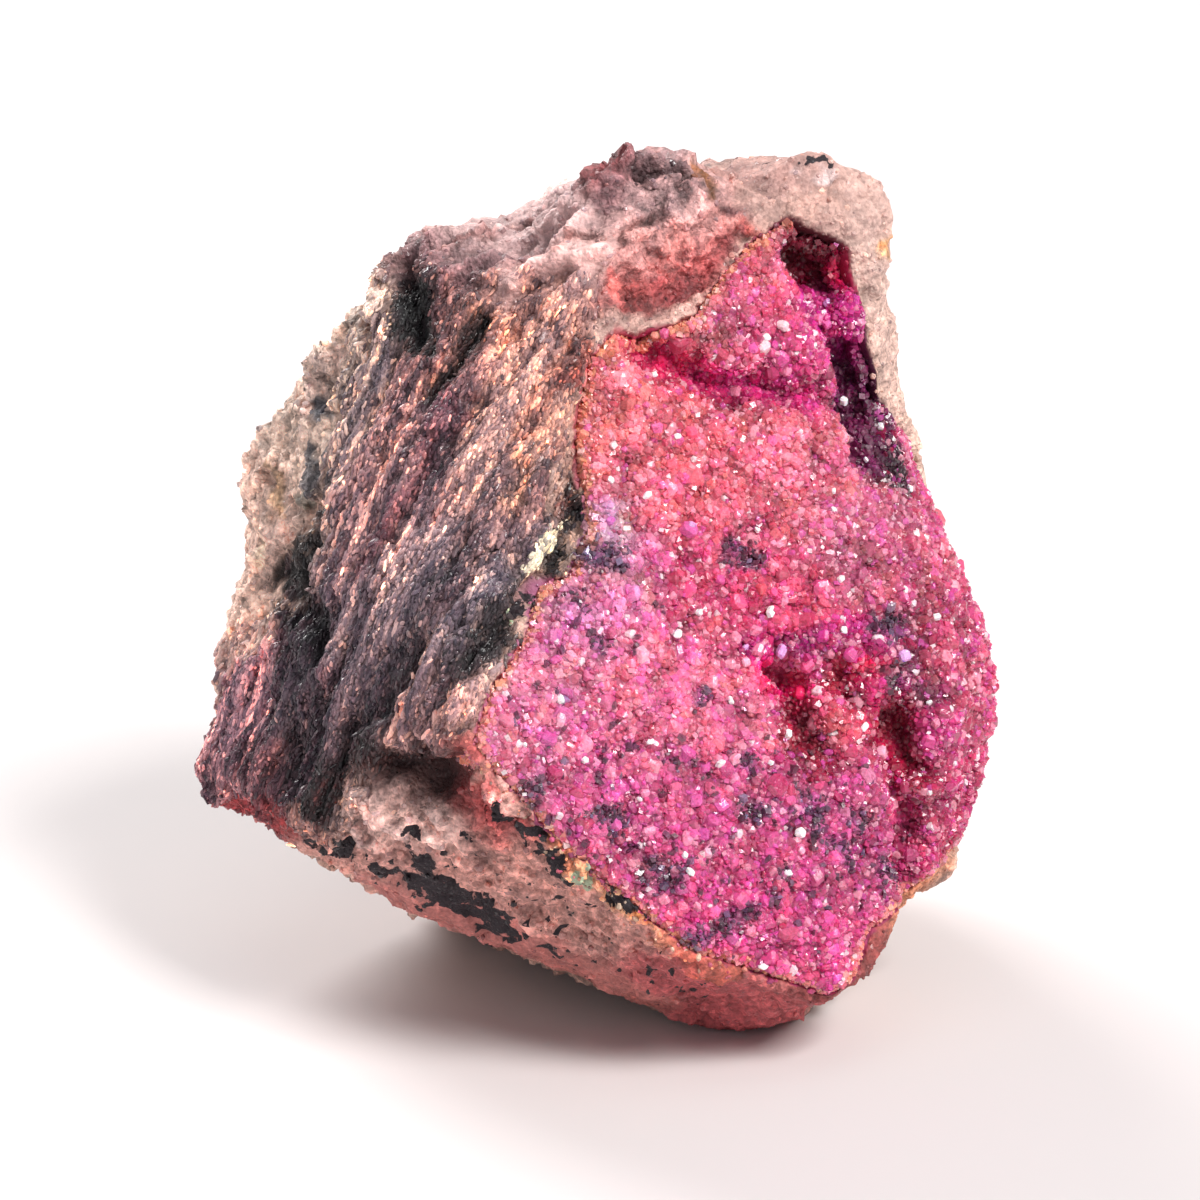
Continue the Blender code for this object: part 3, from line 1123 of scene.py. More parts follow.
# The lower face, with its black crusts and flecks
LOWER_FACE = Outline(8.0, (
    (312, 822), (350, 842), (410, 832), (490, 848), (560, 872), (620, 912), (690, 952), (745, 985),
    (700, 1018), (600, 985), (520, 950), (440, 928), (360, 885), (305, 845),
))

# The open pocket at the druse's upper right, where no orange rim grows
POCKET = Outline(6.0, (
    (775, 230), (800, 218), (850, 236), (884, 290), (905, 380), (930, 490), (900, 510), (860, 450),
    (836, 380), (812, 300), (785, 268),
))

# How the plain rock drifts between dark and light, and the fibrous rock and grains from cool to warm
ROCK_DRIFT = np.array((0.36, 0.34, 0.32))
WARM_DRIFT = np.array((1.1, 1.06, 0.84))

# The rim that grows between the rock and the druse
RIM_ORANGE = tone(240, 160, 122)

ROCK_ZONES: tuple[Zone, ...] = (
    Zone("crest knob", tone(122, 54, 58), ((605, 168),), 2.0, 1.2),
    Zone("grey crest", tone(118, 92, 96), ((640, 180), (680, 178)), 2.0, 1.6),
    Zone("crest foot", tone(234, 186, 184), ((655, 205), (700, 195)), 2.0, 1.2),
    Zone("ledge left", tone(208, 172, 170), ((480, 235), (560, 215)), 2.5, 0.6),
    Zone("ledge middle", tone(198, 162, 160), ((570, 225), (640, 235)), 2.2, 0.6),
    Zone("ledge front", tone(222, 176, 170), ((520, 275), (590, 250)), 1.5, 0.5),
    Zone("saddle", tone(180, 136, 130), ((710, 200), (755, 190)), 2.5, 0.6),
    Zone("block", tone(192, 150, 142), ((790, 180), (850, 190)), 4.0, 0.45),
    Zone("block edge", tone(208, 172, 162), ((865, 190), (872, 240)), 2.5, 0.6),
    Zone("right margin", tone(216, 180, 168), ((874, 260), (884, 310), (898, 370)), 2.5, 0.8),
    Zone("recess", tone(252, 146, 142), ((650, 275), (690, 270)), 3.0, 1.3),
    Zone("recess top", tone(232, 152, 146), ((640, 250), (720, 225)), 2.2),
    Zone("recess shade", tone(130, 44, 50), ((640, 312), (690, 290), (720, 262)), 1.8, 1.3),
    Zone("recess lip", tone(214, 176, 165), ((625, 328), (680, 328), (715, 300), (750, 255)), 1.2, 0.8),
    Zone("brow", tone(132, 94, 98), ((430, 262), (500, 262), (545, 265)), 2.4),
    Zone("left margin", tone(255, 222, 204), ((350, 320), (315, 380), (285, 430)), 2.5, 1.1),
    Zone("left margin low", tone(255, 214, 196), ((265, 480), (258, 540), (250, 600)), 2.5, 1.1),
    Zone("left spot", tone(88, 90, 98), ((322, 404), (326, 420)), 0.35, 1.2),
    Zone("left long spot", tone(104, 98, 100), ((313, 448), (309, 462), (313, 484)), 0.35, 1.2),
    Zone("left low spot", tone(88, 90, 94), ((331, 450), (335, 458)), 0.3, 1.2),
    Zone("left small spot", tone(140, 130, 120), ((298, 492), (304, 500)), 0.3, 1.2),
    Zone("left top spot", tone(60, 58, 60), ((356, 296), (345, 318)), 0.5, 1.2),
    Zone("left grey", tone(244, 210, 198), ((335, 350), (318, 382), (300, 430)), 0.5, 1.2),
    Zone("left low grey", tone(242, 204, 190), ((290, 520), (276, 560), (268, 590)), 0.5, 1.2),
    Zone("left shadow", tone(18, 8, 12), ((306, 566), (285, 578)), 0.9),
    Zone("left ochre", tone(246, 196, 156), ((272, 480), (278, 512)), 0.5, 1.1),
    Zone("left low ochre", tone(232, 204, 180), ((262, 540), (260, 560)), 0.5, 1.1),
    Zone("brown crack", tone(112, 74, 72), ((620, 238), (640, 226), (655, 212)), 0.25),
    Zone("second crack", tone(156, 112, 108), ((520, 262), (560, 248), (600, 232)), 0.25),
    Zone("third crack", tone(150, 108, 106), ((440, 246), (490, 226), (530, 222)), 0.3),
    Zone("brown specks", tone(144, 88, 50), ((705, 178), (706, 196)), 0.35),
    Zone("crest dark", tone(80, 56, 60), ((645, 166), (655, 178), (680, 172), (684, 186)), 0.6, 1.8),
    Zone("crest knob shade", tone(138, 98, 102), ((612, 180), (606, 200)), 0.5, 1.2),
    Zone("salmon bit", tone(160, 70, 66), ((740, 220), (752, 230)), 0.5, 1.6),
    Zone("left salmon bit", tone(208, 106, 102), ((613, 272), (616, 282)), 0.35, 1.2),
    Zone("recess line", tone(86, 44, 50), ((728, 212), (742, 214), (748, 240)), 0.3),
    Zone("recess band", tone(146, 60, 66), ((664, 300), (690, 286), (706, 262), (722, 244)), 0.9, 1.4),
    Zone("recess left shade", tone(134, 56, 56), ((632, 296), (640, 310)), 0.8, 1.2),
    Zone("block white", tone(214, 186, 184), ((800, 168), (812, 176), (828, 172)), 0.35, 0.8),
    Zone("block tan", tone(190, 152, 142), ((750, 200), (790, 215), (830, 200)), 1.2, 0.6),
    Zone("ochre edge", tone(200, 148, 104), ((884, 246), (890, 290)), 0.35),
    Zone("left foot edge", tone(152, 50, 54), ((215, 790), (250, 800), (280, 808)), 1.2),
    Zone("lower face", tone(210, 152, 142), ((330, 840), (420, 850), (520, 880), (600, 920)), 4.0),
    Zone("lower face keel", tone(190, 116, 110), ((400, 905), (520, 945), (640, 995)), 2.0, 0.6),
    Zone("upper band cream", tone(252, 208, 198), ((345, 814), (395, 816), (436, 828)), 1.6, 1.5),
    Zone("upper band shade", tone(58, 14, 18), ((385, 765), (412, 776), (440, 786), (458, 780)), 2.0, 0.6),
    Zone("upper band red", tone(226, 104, 104), ((474, 790), (500, 814)), 1.8, 1.6),
    Zone("orange border", tone(252, 184, 138), ((588, 868), (606, 880), (630, 894)), 0.8, 1.6),
    Zone("orange lump", tone(252, 166, 96), ((652, 902), (660, 910)), 0.9, 1.6),
    Zone("cream border", tone(228, 174, 164), ((478, 778), (500, 796), (520, 815)), 0.7, 1.6),
    Zone("rust border", tone(238, 140, 104), ((560, 838), (580, 856)), 0.6, 1.6),
    Zone("rusty foot", tone(194, 98, 82), ((672, 922), (700, 945), (730, 965)), 0.7, 1.2),
    Zone("foot brown", tone(190, 90, 94), ((670, 975), (740, 1010), (800, 1010)), 3.0, 0.8),
    Zone("foot right", tone(150, 74, 72), ((840, 985), (860, 960)), 2.5, 0.8),
    Zone("right lump", tone(228, 150, 116), ((900, 890), (930, 865)), 2.5),
    Zone("back mauve", tone(152, 116, 116), ((-14.0, 24.0, 44.0), (4.0, 26.0, 56.0)), 9.0, 1.2),
    Zone("right side", tone(212, 176, 162), ((28.0, 8.0, 30.0), (24.0, 12.0, 50.0)), 8.0),
    Zone("back left", tone(226, 190, 174), ((-28.0, 10.0, 30.0), (-26.0, 14.0, 14.0)), 6.0),
    Zone(
        "back vein", tone(226, 200, 186), ((22.0, 18.0, 44.0), (10.0, 27.0, 30.0), (-8.0, 28.0, 22.0)),
        1.6, 0.7,
    ),
    Zone("back brown", tone(164, 124, 114), ((18.0, 24.0, 36.0), (24.0, 16.0, 24.0)), 4.0, 1.3),
    Zone("back red", tone(200, 146, 138), ((-6.0, 27.0, 46.0), (8.0, 27.0, 52.0)), 3.5, 1.2),
    Zone(
        "back foot", tone(168, 128, 120), ((20.0, 18.0, 6.0), (-4.0, 28.0, 8.0), (-20.0, 16.0, 8.0)), 3.0,
    ),
    Zone("back", tone(204, 166, 152), ((0.0, 30.0, 36.0), (6.0, 28.0, 16.0)), 12.0),
)

FIBROUS_ZONES: tuple[Zone, ...] = (
    Zone("ochre line", tone(162, 116, 104), ((566, 400), (540, 450), (512, 500)), 0.5),
    # The furrows and pits from here to the low pit are painted shade: dark where the fibrous face sinks
    # into shadow.
    Zone("druse furrow", tone(44, 26, 26), ((590, 420), (585, 470), (580, 505)), 0.8),
    Zone(
        "cream furrow", tone(36, 26, 30), ((574, 520), (560, 545), (538, 572), (500, 630), (462, 675)), 0.7,
    ),
    Zone("brow furrow", tone(14, 8, 14), ((404, 272), (412, 300), (428, 340)), 1.0, 0.8),
    Zone("second furrow", tone(16, 8, 12), ((488, 322), (468, 350), (440, 398)), 0.7),
    Zone("long furrow", tone(100, 62, 72), ((462, 400), (436, 450), (405, 510), (372, 560)), 0.6),
    Zone("middle furrow", tone(58, 42, 52), ((480, 560), (440, 610), (400, 670), (362, 735)), 0.8),
    Zone("left furrow", tone(14, 8, 12), ((330, 490), (312, 540), (300, 572)), 0.9),
    Zone("left pit", tone(58, 40, 50), ((282, 590), (300, 600), (322, 636)), 1.1),
    Zone("low pit", tone(82, 56, 68), ((330, 690), (308, 735), (290, 780)), 1.5),
    Zone("top", tone(148, 100, 92), ((520, 300), (560, 290)), 2.4, 0.8),
    Zone("peach streak", tone(180, 136, 128), ((575, 295), (545, 355), (505, 420), (480, 460)), 1.5, 0.8),
    Zone("beside druse", tone(104, 48, 46), ((575, 350), (560, 420), (565, 470)), 2.0),
    Zone("ochre streak", tone(116, 84, 86), ((548, 440), (520, 490), (490, 540)), 1.6),
    Zone("upper mauve", tone(130, 90, 92), ((450, 380), (430, 440)), 3.0),
    Zone("mauve", tone(154, 116, 118), ((400, 470), (350, 540)), 3.5),
    Zone("left flank", tone(152, 128, 126), ((380, 350), (330, 470), (310, 560)), 2.0),
    Zone("sparry grey", tone(124, 104, 110), ((500, 560), (470, 610), (430, 660)), 3.0, 1.1),
    Zone("sparry mauve", tone(126, 102, 108), ((410, 590), (360, 640)), 3.5, 1.1),
    Zone("low dark", tone(82, 64, 74), ((390, 690), (340, 700), (300, 740)), 2.8),
    Zone("foot", tone(164, 124, 122), ((440, 690), (410, 720)), 2.0),
    Zone("foot dark", tone(28, 10, 14), ((370, 760), (320, 800)), 2.2, 0.8),
    Zone("left foot", tone(154, 112, 122), ((240, 660), (240, 720), (230, 760)), 3.0),
    Zone("left foot low", tone(106, 66, 74), ((225, 775), (270, 780)), 2.0),
)

ROCK_STROKES: tuple[Stroke, ...] = (
    Stroke("druse furrow", ((588, 430), (583, 470), (578, 505)), 1.3, -0.9),
    Stroke("cream furrow", ((583, 512), (565, 535), (540, 570), (515, 610), (470, 660)), 1.2, -1.0),
    Stroke("brow shadow", ((402, 262), (412, 300), (425, 340)), 1.8, -1.5),
    Stroke("second shadow", ((490, 318), (470, 350), (440, 400)), 1.4, -1.0),
    Stroke("long furrow", ((480, 405), (450, 450), (410, 520), (380, 560)), 1.2, -0.7),
    Stroke("peach ridge", ((580, 290), (550, 350), (505, 425), (470, 470)), 1.8, 0.6),
    Stroke("ochre ridge", ((560, 400), (530, 460), (500, 520), (470, 560)), 1.5, 0.45),
    Stroke("left pit", ((300, 590), (320, 620), (330, 650)), 2.4, -1.3),
    Stroke("low pit", ((325, 700), (300, 740), (288, 775)), 2.6, -1.2),
    Stroke("lower furrow", ((430, 640), (390, 700), (350, 750)), 1.6, -0.9),
    Stroke("ledge rim", ((505, 285), (560, 262), (600, 250)), 1.1, 0.6),
    Stroke("ledge under", ((510, 296), (565, 275)), 1.0, -0.5),
    Stroke("crest hollow", ((640, 172), (680, 172)), 1.2, -0.7),
    Stroke("crest tooth", ((662, 160),), 1.0, 0.6),
    Stroke("upper band hollow", ((395, 762), (430, 775), (460, 765)), 2.0, -1.5),
    Stroke("cream lump", ((370, 808), (400, 800)), 1.6, 0.6),
    Stroke("cream lump right", ((430, 812), (450, 805)), 1.3, 0.7),
    Stroke("first cream lump", ((362, 800),), 1.1, 0.9),
    Stroke("second cream lump", ((386, 818),), 1.2, 1.0),
    Stroke("third cream lump", ((412, 806),), 1.0, 0.8),
    Stroke("fourth cream lump", ((440, 818),), 1.1, 0.9),
    Stroke("orange border", ((588, 868), (606, 880), (630, 894)), 0.9, 0.6),
    Stroke("orange lump", ((655, 906),), 1.0, 0.8),
    Stroke("red fibres", ((470, 780), (478, 830)), 0.8, 0.5),
    Stroke("red fibres right", ((492, 790), (498, 835)), 0.8, 0.45),
    Stroke("salmon bit", ((740, 220), (752, 230)), 0.9, 0.5),
    Stroke("brown crack", ((620, 238), (640, 226), (655, 212)), 0.5, -0.5),
    Stroke("second crack", ((520, 262), (560, 248), (600, 232)), 0.5, -0.5),
    Stroke("third crack", ((440, 246), (490, 226), (530, 222)), 0.6, -0.5),
    Stroke("recess border", ((754, 249), (730, 285), (699, 320), (671, 330)), 0.8, 0.5),
    Stroke("recess band", ((664, 300), (690, 286), (706, 262), (722, 244)), 1.2, -0.7),
    Stroke("left furrow", ((330, 490), (315, 540), (302, 572)), 1.2, -0.9),
    Stroke("recess bottom", ((650, 305), (700, 285)), 2.0, -0.6),
)

ROCK_PATCHES: dict[Mineral, tuple[Patch, ...]] = {
    Mineral.CREAM: (
        Patch(((562, 528), (545, 541), (527, 563)), 0.6),
    ),
    Mineral.GREEN: (
        Patch(((577, 868), (588, 890)), 0.45),
        Patch(((512, 612), (520, 622)), 0.3),
    ),
    Mineral.BLACK: (
        Patch(((316, 840), (334, 848), (350, 850)), 0.9),
        Patch(((382, 870), (405, 880), (430, 893), (470, 908), (508, 928)), 0.95),
        Patch(((415, 858), (436, 878), (452, 890)), 0.7),
        Patch(((440, 885), (480, 898), (512, 915)), 1.1),
        Patch(((480, 928), (496, 934)), 0.8),
        Patch(((408, 848), (418, 868)), 0.35),
        Patch(((415, 832), (432, 845)), 0.4),
        Patch(((466, 835), (478, 838)), 0.35),
        Patch(((445, 858), (455, 860)), 0.25),
        Patch(((494, 870), (502, 878)), 0.3),
        Patch(((540, 945), (556, 952)), 0.35),
        Patch(((580, 958), (590, 962)), 0.3),
        Patch(((500, 808), (508, 822), (518, 834)), 0.7),
        Patch(((528, 836), (546, 840)), 0.5),
        Patch(((542, 852), (556, 862), (566, 872)), 0.8),
        Patch(((612, 898), (626, 906), (640, 912)), 0.7),
        Patch(((548, 580), (520, 620)), 0.35),
        Patch(((798, 157), (812, 155), (826, 158)), 0.35),
        Patch(((769, 163), (777, 161)), 0.2),
        Patch(((590, 508), (577, 519), (567, 533)), 0.4),
    ),
}


@dataclass(frozen=True)
class RockCover:
    """What the smooth rock is like at each of its points, before it is broken up."""

    points: Array
    normals: Array
    # How squarely it faces the front view, from -1 to 1
    toward: Array
    # Uneven shifts, and the places in the front view that they lead to
    warp: Array
    seen: Array
    # Distance to the crust, and shares of the fibrous face and of the pocket's walls
    gap: Array
    fibrous: Array
    walls: Array


@dataclass(frozen=True)
class GrainKind:
    """One kind of grains that stand out of the rock, and the name of their piece."""

    name: str
    widths: Span
    # Lengths, thickness and lift as multiples of the width; crowding as one of two mean widths
    slenderness: Span
    density: float
    crowding: float
    lift: float
    contrast: float
    limit: int
    # Whether they lie along the fibres, and how far they stray or lean
    drawn: bool = False
    thickness: Span = (0.6, 1.0)
    lean: Span = (0.2, 0.9)
    stray: float = 0.22
    brightness: float = -0.1

    def grow(
        self,
        rock: Mesh,
        weights: Array,
        colours: Array,
        finish: Material,
        rng: Draws,
    ) -> None:
        """Scatter the grains over the rock and put them into the scene.

        Args:
            rock: mesh that carries them.
            weights: share of the density at each of its points.
            colours: colour at each of its points.
            finish: their material.
            rng: source of the draws.
        """
        sites = draw_sites(rock, self.density, rng, weights)
        low, high = self.widths
        widths = low + (high - low) * rng.random(len(sites.places)) ** 2
        kept = thin_out(sites.places, widths, self.crowding, [])[: self.limit]
        sites, widths = sites.picked(kept), widths[kept]
        count = len(kept)
        if self.drawn:
            turns = laid_along(sites.normals, self.stray, rng)
        else:
            turns = turned_up(sites.normals, rng.uniform(*self.lean, count), rng)
        lengths = widths * rng.uniform(*self.slenderness, count)
        stretch = np.stack((widths, lengths, widths * rng.uniform(*self.thickness, count)), axis=1)
        light = rng.normal(self.brightness, self.contrast, count)
        tints = colours[sites.corners] * np.exp(light[:, None] * WARM_DRIFT)
        mesh = scatter(
            self.name, Habit.PEBBLE, sites, turns, stretch, widths * self.lift, tints, rng.random(count)
        )
        place_piece(self.name, mesh, finish)


@dataclass(frozen=True)
class StainedRim:
    """Stained grains that straggle over the rock around the druse."""

    # How far from the crust they reach, and how much further at ragged and hidden edges
    reach: float = 0.55
    ragged_reach: float = 1.1
    hidden_reach: float = 0.9
    reach_clouds: Layer = Layer(1.4, 0.35, 17.0)
    full_reach: float = 0.5
    gaps: Layer = Layer(1.1, 1.0, 29.0)
    gap_levels: Span = (-0.15, 0.2)
    # Share of the stain, and how much more where the edge is ragged
    share: float = 0.5
    ragged_share: float = 0.3
    blotches: Layer = Layer(0.8, 1.0, 23.0, octaves=1)
    cream_level: float = -0.22
    pink_level: float = 0.12
    cream: Colour = tone(240, 208, 178)
    pink: Colour = tone(226, 104, 132)
    orange: Colour = RIM_ORANGE

    def spread(self, cover: RockCover, visible: Array, ragged: Array) -> Array:
        """Share of the rim at each point of the rock.

        Args:
            cover: the smooth rock.
            visible: how well the front view sees each point.
            ragged: share of the ragged edge at each point.

        Returns:
            1 beside the crust, 0 in gaps and away from it.
        """
        reach = self.reach + self.ragged_reach * ragged + self.hidden_reach * (1.0 - visible)
        reach = reach + self.reach_clouds.clouds(cover.points)
        closed = np.maximum(fade(self.gaps.clouds(cover.points), *self.gap_levels), ragged)
        near = fade(cover.gap, reach, reach * self.full_reach)
        return near * (cover.normals @ DRUSE_OUT > 0.0) * closed

    def stained(
        self, cover: RockCover, colours: Array, rim: Array, ragged: Array
    ) -> Array:
        """Colours of the rock with the rim's stain.

        Args:
            cover: the smooth rock.
            colours: its colours without the stain.
            rim: share of the rim at each point.
            ragged: share of the ragged edge at each point.

        Returns:
            One colour for each point.
        """
        share = (rim * (1.0 - cover.walls) * (self.share + self.ragged_share * ragged))[:, None]
        blotch = self.blotches.clouds(cover.points)[:, None]
        stain = np.where(blotch > self.pink_level, np.array(self.pink), np.array(self.orange))
        stain = np.where(blotch < self.cream_level, np.array(self.cream), stain)
        return colours * (1.0 - share) + stain * share


@dataclass(frozen=True)
class RockGrains:
    """All the grains on the rock."""

    seed: int = 12
    # Where grains grow, and their share where the rock is hidden or calm
    turning: Span = (-0.2, 0.2)
    floor_gap: float = 1.0
    crust_gap: float = 0.5
    rim_gap: float = 0.02
    hidden_share: float = 0.25
    least_rough: float = 0.2
    fibre_grains: GrainKind = GrainKind(
        "fibre_grains", widths=(0.30, 0.54), slenderness=(1.4, 3.6), density=12.0, crowding=1.0,
        lift=-0.16, contrast=0.42, limit=9500, drawn=True,
    )
    fine_fibre_grains: GrainKind = GrainKind(
        "fine_fibre_grains", widths=(0.20, 0.32), slenderness=(1.2, 3.0), density=24.0, crowding=0.95,
        lift=0.05, contrast=0.55, limit=9500, drawn=True,
    )
    spar_grains: GrainKind = GrainKind(
        "spar_grains", widths=(0.32, 0.78), slenderness=(0.9, 1.5), density=5.0, crowding=0.95,
        lift=-0.28, contrast=0.2, limit=7000,
    )
    rim_grains: GrainKind = GrainKind(
        "rim_grains", widths=(0.22, 0.60), slenderness=(0.9, 1.5), density=44.0, crowding=0.62,
        lift=-0.1, contrast=0.28, limit=4500,
    )
    rim: StainedRim = StainedRim()

    def build(
        self, rock: Mesh, view: FrontView, cover: RockCover, colours: Array, rough: Array
    ) -> None:
        """Cover the rock with grains, kind by kind.

        Args:
            rock: the broken rock, which carries them.
            view: the view from the front.
            cover: the smooth rock.
            colours: colour at each point of the rock.
            rough: how broken it is there.
        """
        rng = np.random.default_rng(self.seed)
        visible = fade(cover.toward, *self.turning)
        off_floor = cover.points[:, 2] > self.floor_gap
        outside = (cover.gap > self.crust_gap) * off_floor * (1.0 - cover.walls)
        plain_share = self.hidden_share + (1.0 - self.hidden_share) * visible
        plain = (1.0 - cover.fibrous) * outside * plain_share * np.clip(rough, self.least_rough, 1.0)
        finish = CrystalFinish("rock_grain_finish", 0.18, 0.75, glow=0.0, coat=0.0).material()
        for kind, weights in (
            (self.fibre_grains, cover.fibrous * outside),
            (self.fine_fibre_grains, cover.fibrous * outside * visible),
            (self.spar_grains, plain),
        ):
            kind.grow(rock, weights, colours, finish, rng)
        places = view.seen_at(cover.points)
        ragged = RAGGED_EDGE.share(places)
        rim = self.rim.spread(cover, visible, ragged) * (1.0 - POCKET.share(places))
        near = np.maximum(rim, cover.walls) * (cover.gap > self.rim_gap) * off_floor
        self.rim_grains.grow(rock, near, self.rim.stained(cover, colours, rim, ragged), finish, rng)


@dataclass
class HostRock:
    """The pale host rock around the druse, with its fibrous left face."""

    skin: PackedSkin
    # Edge of a face, and what the halved faces turn to and keep off
    voxel: float = 0.61
    halved_facing: float = 0.12
    halved_gap: float = 0.3
    # Rounds of smoothing near the crust and elsewhere
    smoothing: tuple[int, int] = (1, 4)
    near_gap: float = 0.8
    # How far uneven shifts move what is drawn on the rock
    warp: Warp = Warp(3.0, 3, (1.3, 8.1, 15.7))
    outline_shift: float = 1.6
    zone_shift: float = 1.2
    patch_shift: float = 0.7
    patch_edge: float = 0.8
    relief_shift: float = 0.4
    # Where the fibrous face and the pocket's walls begin
    fibrous_facing: Span = (0.0, 0.35)
    fibrous_end: Layer = Layer(3.0, 0.25, 41.0)
    fibrous_turning: Span = (-0.2, 0.1)
    wall_facing: Span = (0.1, 0.5)
    wall_gap: Span = (3.5, 2.5)
    # The pocket's walls take the druse's colours, which line them, darkened by this factor as painted shade
    wall_shade: float = 0.55
    # The broken surface
    chips: tuple[Layer, ...] = (Layer(4.2, 0.50), Layer(1.9, 0.34, 11.3), Layer(0.95, 0.20, 22.6))
    lumps: tuple[Layer, ...] = (Layer(2.6, 0.30, 3.1), Layer(1.0, 0.24, 8.8))
    fibres: tuple[Layer, ...] = (Layer(3.2, 0.56), Layer(1.5, 0.50, 7.9), Layer(0.75, 0.32, 15.8))
    fibre_length: float = 12.0
    fibrous_calm: float = 0.45
    # Streaks of the fibrous face, blotches of the plain rock and bands of the ledges
    shades: tuple[Layer, ...] = (Layer(2.0, 0.75, 18.0), Layer(0.9, 1.1, 8.1), Layer(0.45, 1.0, 4.05))
    shade_length: float = 14.0
    drifts: tuple[Layer, ...] = (Layer(2.4, 1.0, 16.8), Layer(0.9, 1.0, 6.3), Layer(0.45, 1.0, 3.15))
    ledges: tuple[Layer, ...] = (Layer(2.2, 1.0, 11.0), Layer(0.9, 1.0, 4.5))
    ledge_length: float = 7.0
    ledge_height: float = 0.8
    ledge_shade: float = 0.8
    # Painted light and shade: how much lighter a ridge and darker a hollow is painted for each millimetre
    # of height, plain and fibrous
    depth_shade: Span = (0.35, 0.6)
    # Where the broken surface turns calm: beside the crust, past its heights and at the foot
    quiet_gap: Span = (0.30, 0.9)
    heights: Span = (-2.4, 0.9)
    foot: float = 1.5
    # Crumbly edges of the black crusts, and clusters of flecks on the hidden sides
    crumbs: Layer = Layer(0.75, 1.0, 37.0)
    crumb_share: float = 0.6
    crust_edge: float = 0.1
    fleck_clusters: Layer = Layer(7.0, 1.0, 43.0)
    cluster_levels: Span = (0.1, 0.45)
    cluster_turning: Span = (0.0, -0.3)
    fleck_share: float = 1.05

    def build(self) -> None:
        """Make the rock and its grains and put them into the scene."""
        body = remeshed(merged_copy(ROCK_NODE), "rock_grid", self.voxel)
        far = self.skin.gap_to(CRUST_NODE, places_of(body)) > self.near_gap
        smooth(body, self.smoothing[0], far, self.smoothing[1])
        self._refine_front(body)
        cover = self._survey(body)
        bands = self._bands(cover)
        colours, rough = self._colours(cover, bands)
        heights = self._heights(cover, rough) + bands * self.ledge_height
        heights *= fade(cover.gap, *self.quiet_gap)
        plain_shade, fibrous_shade = self.depth_shade
        # Painted light and shade: ridges painted lighter and hollows darker by their height
        colours *= np.exp(heights * (plain_shade + (fibrous_shade - plain_shade) * cover.fibrous))[:, None]
        offsets = cover.normals * heights[:, None]
        offsets[:, 2] *= fade(cover.points[:, 2], 0.0, self.foot)
        move_points(body, offsets)
        mesh = bpy.data.meshes.new("host_rock")
        body.to_mesh(mesh)
        body.free()
        add_attribute(mesh, "ground", colours)
        add_attribute(mesh, "fibrous", cover.fibrous)
        add_attribute(mesh, "relief", heights)
        add_attribute(mesh, "broken", rough * (1.0 - cover.walls))
        colours = self._stain(mesh, cover, colours)
        mesh.shade_smooth()
        place_piece("host_rock", mesh, RockFinish().material(), ROCK_NODE)
        RockGrains().build(mesh, self.skin.view, cover, colours, rough)

    def _refine_front(self, body: Body) -> None:
        """Halve the faces that the front view sees well."""
        toward = -self.skin.view.forward
        tree = self.skin.trees[CRUST_NODE]
        edges = {}
        for face in body.faces:
            if face.normal.dot(toward) < self.halved_facing:
                continue
            if tree.find_nearest(face.calc_center_median())[3] < self.halved_gap * MM:
                continue
            edges.update(dict.fromkeys(face.edges))
        bmesh.ops.subdivide_edges(body, edges=list(edges), cuts=1, use_grid_fill=True)

    def _survey(self, body: Body) -> RockCover:
        """Find out what the smooth rock is like at each point."""
        points, normals = places_of(body), normals_of(body)
        warp = self.warp.at(points)
        seen = self.skin.view.seen_at(points + warp * self.outline_shift)
        toward = normals @ -np.array(self.skin.view.forward)
        fibrous = FIBROUS_FACE.share(seen) * fade(normals @ FIBROUS_OUT, *self.fibrous_facing)
        fibrous *= fade(toward + self.fibrous_end.clouds(points), *self.fibrous_turning)
        gap = self.skin.gap_to(CRUST_NODE, points)
        walls = fade(self.skin.facing(CRUST_NODE, points, normals), *self.wall_facing)
        walls = walls * fade(gap, *self.wall_gap)
        return RockCover(points, normals, toward, warp, seen, gap, fibrous, walls)

    def _bands(self, cover: RockCover) -> Array:
        """Bands of the ledges, from about -1 to 1, and 0 away from the ledges."""
        bands = sum(
            layer.streaks(cover.points, self.ledge_length, ACROSS_LEDGES, ALONG_LEDGES)
            for layer in self.ledges
        )
        return bands * LEDGE_TOP.share(cover.seen)

    def _colours(self, cover: RockCover, bands: Array) -> tuple[Array, Array]:
        """Colours of the plain and the fibrous rock and of the pocket's walls, with painted shade on the
        walls and painted light and shade on the ledges' bands.
        """
        zone_points = cover.points + cover.warp * self.zone_shift
        plain, plain_rough = blend_zones(self.skin, zone_points, ROCK_ZONES)
        drawn, drawn_rough = blend_zones(self.skin, zone_points, FIBROUS_ZONES)
        streaks = sum(layer.streaks(cover.points, self.shade_length) for layer in self.shades)
        drawn = drawn * np.exp(streaks[:, None] * WARM_DRIFT)
        drift = sum(layer.clouds(cover.points) for layer in self.drifts)
        # Painted light and shade: the ledges' bands are painted lighter where they stand higher and darker
        # where they sink
        drift = drift * plain_rough + bands * self.ledge_shade
        plain = plain * np.exp(drift[:, None] * ROCK_DRIFT)
        colours = plain + (drawn - plain) * cover.fibrous[:, None]
        # Painted shade: the pocket's walls take the druse's colours, darkened
        shaded_lining = blend_zones(self.skin, cover.points, DRUSE_ZONES)[0] * self.wall_shade
        colours += (shaded_lining - colours) * cover.walls[:, None]
        return colours, plain_rough + (drawn_rough - plain_rough) * cover.fibrous

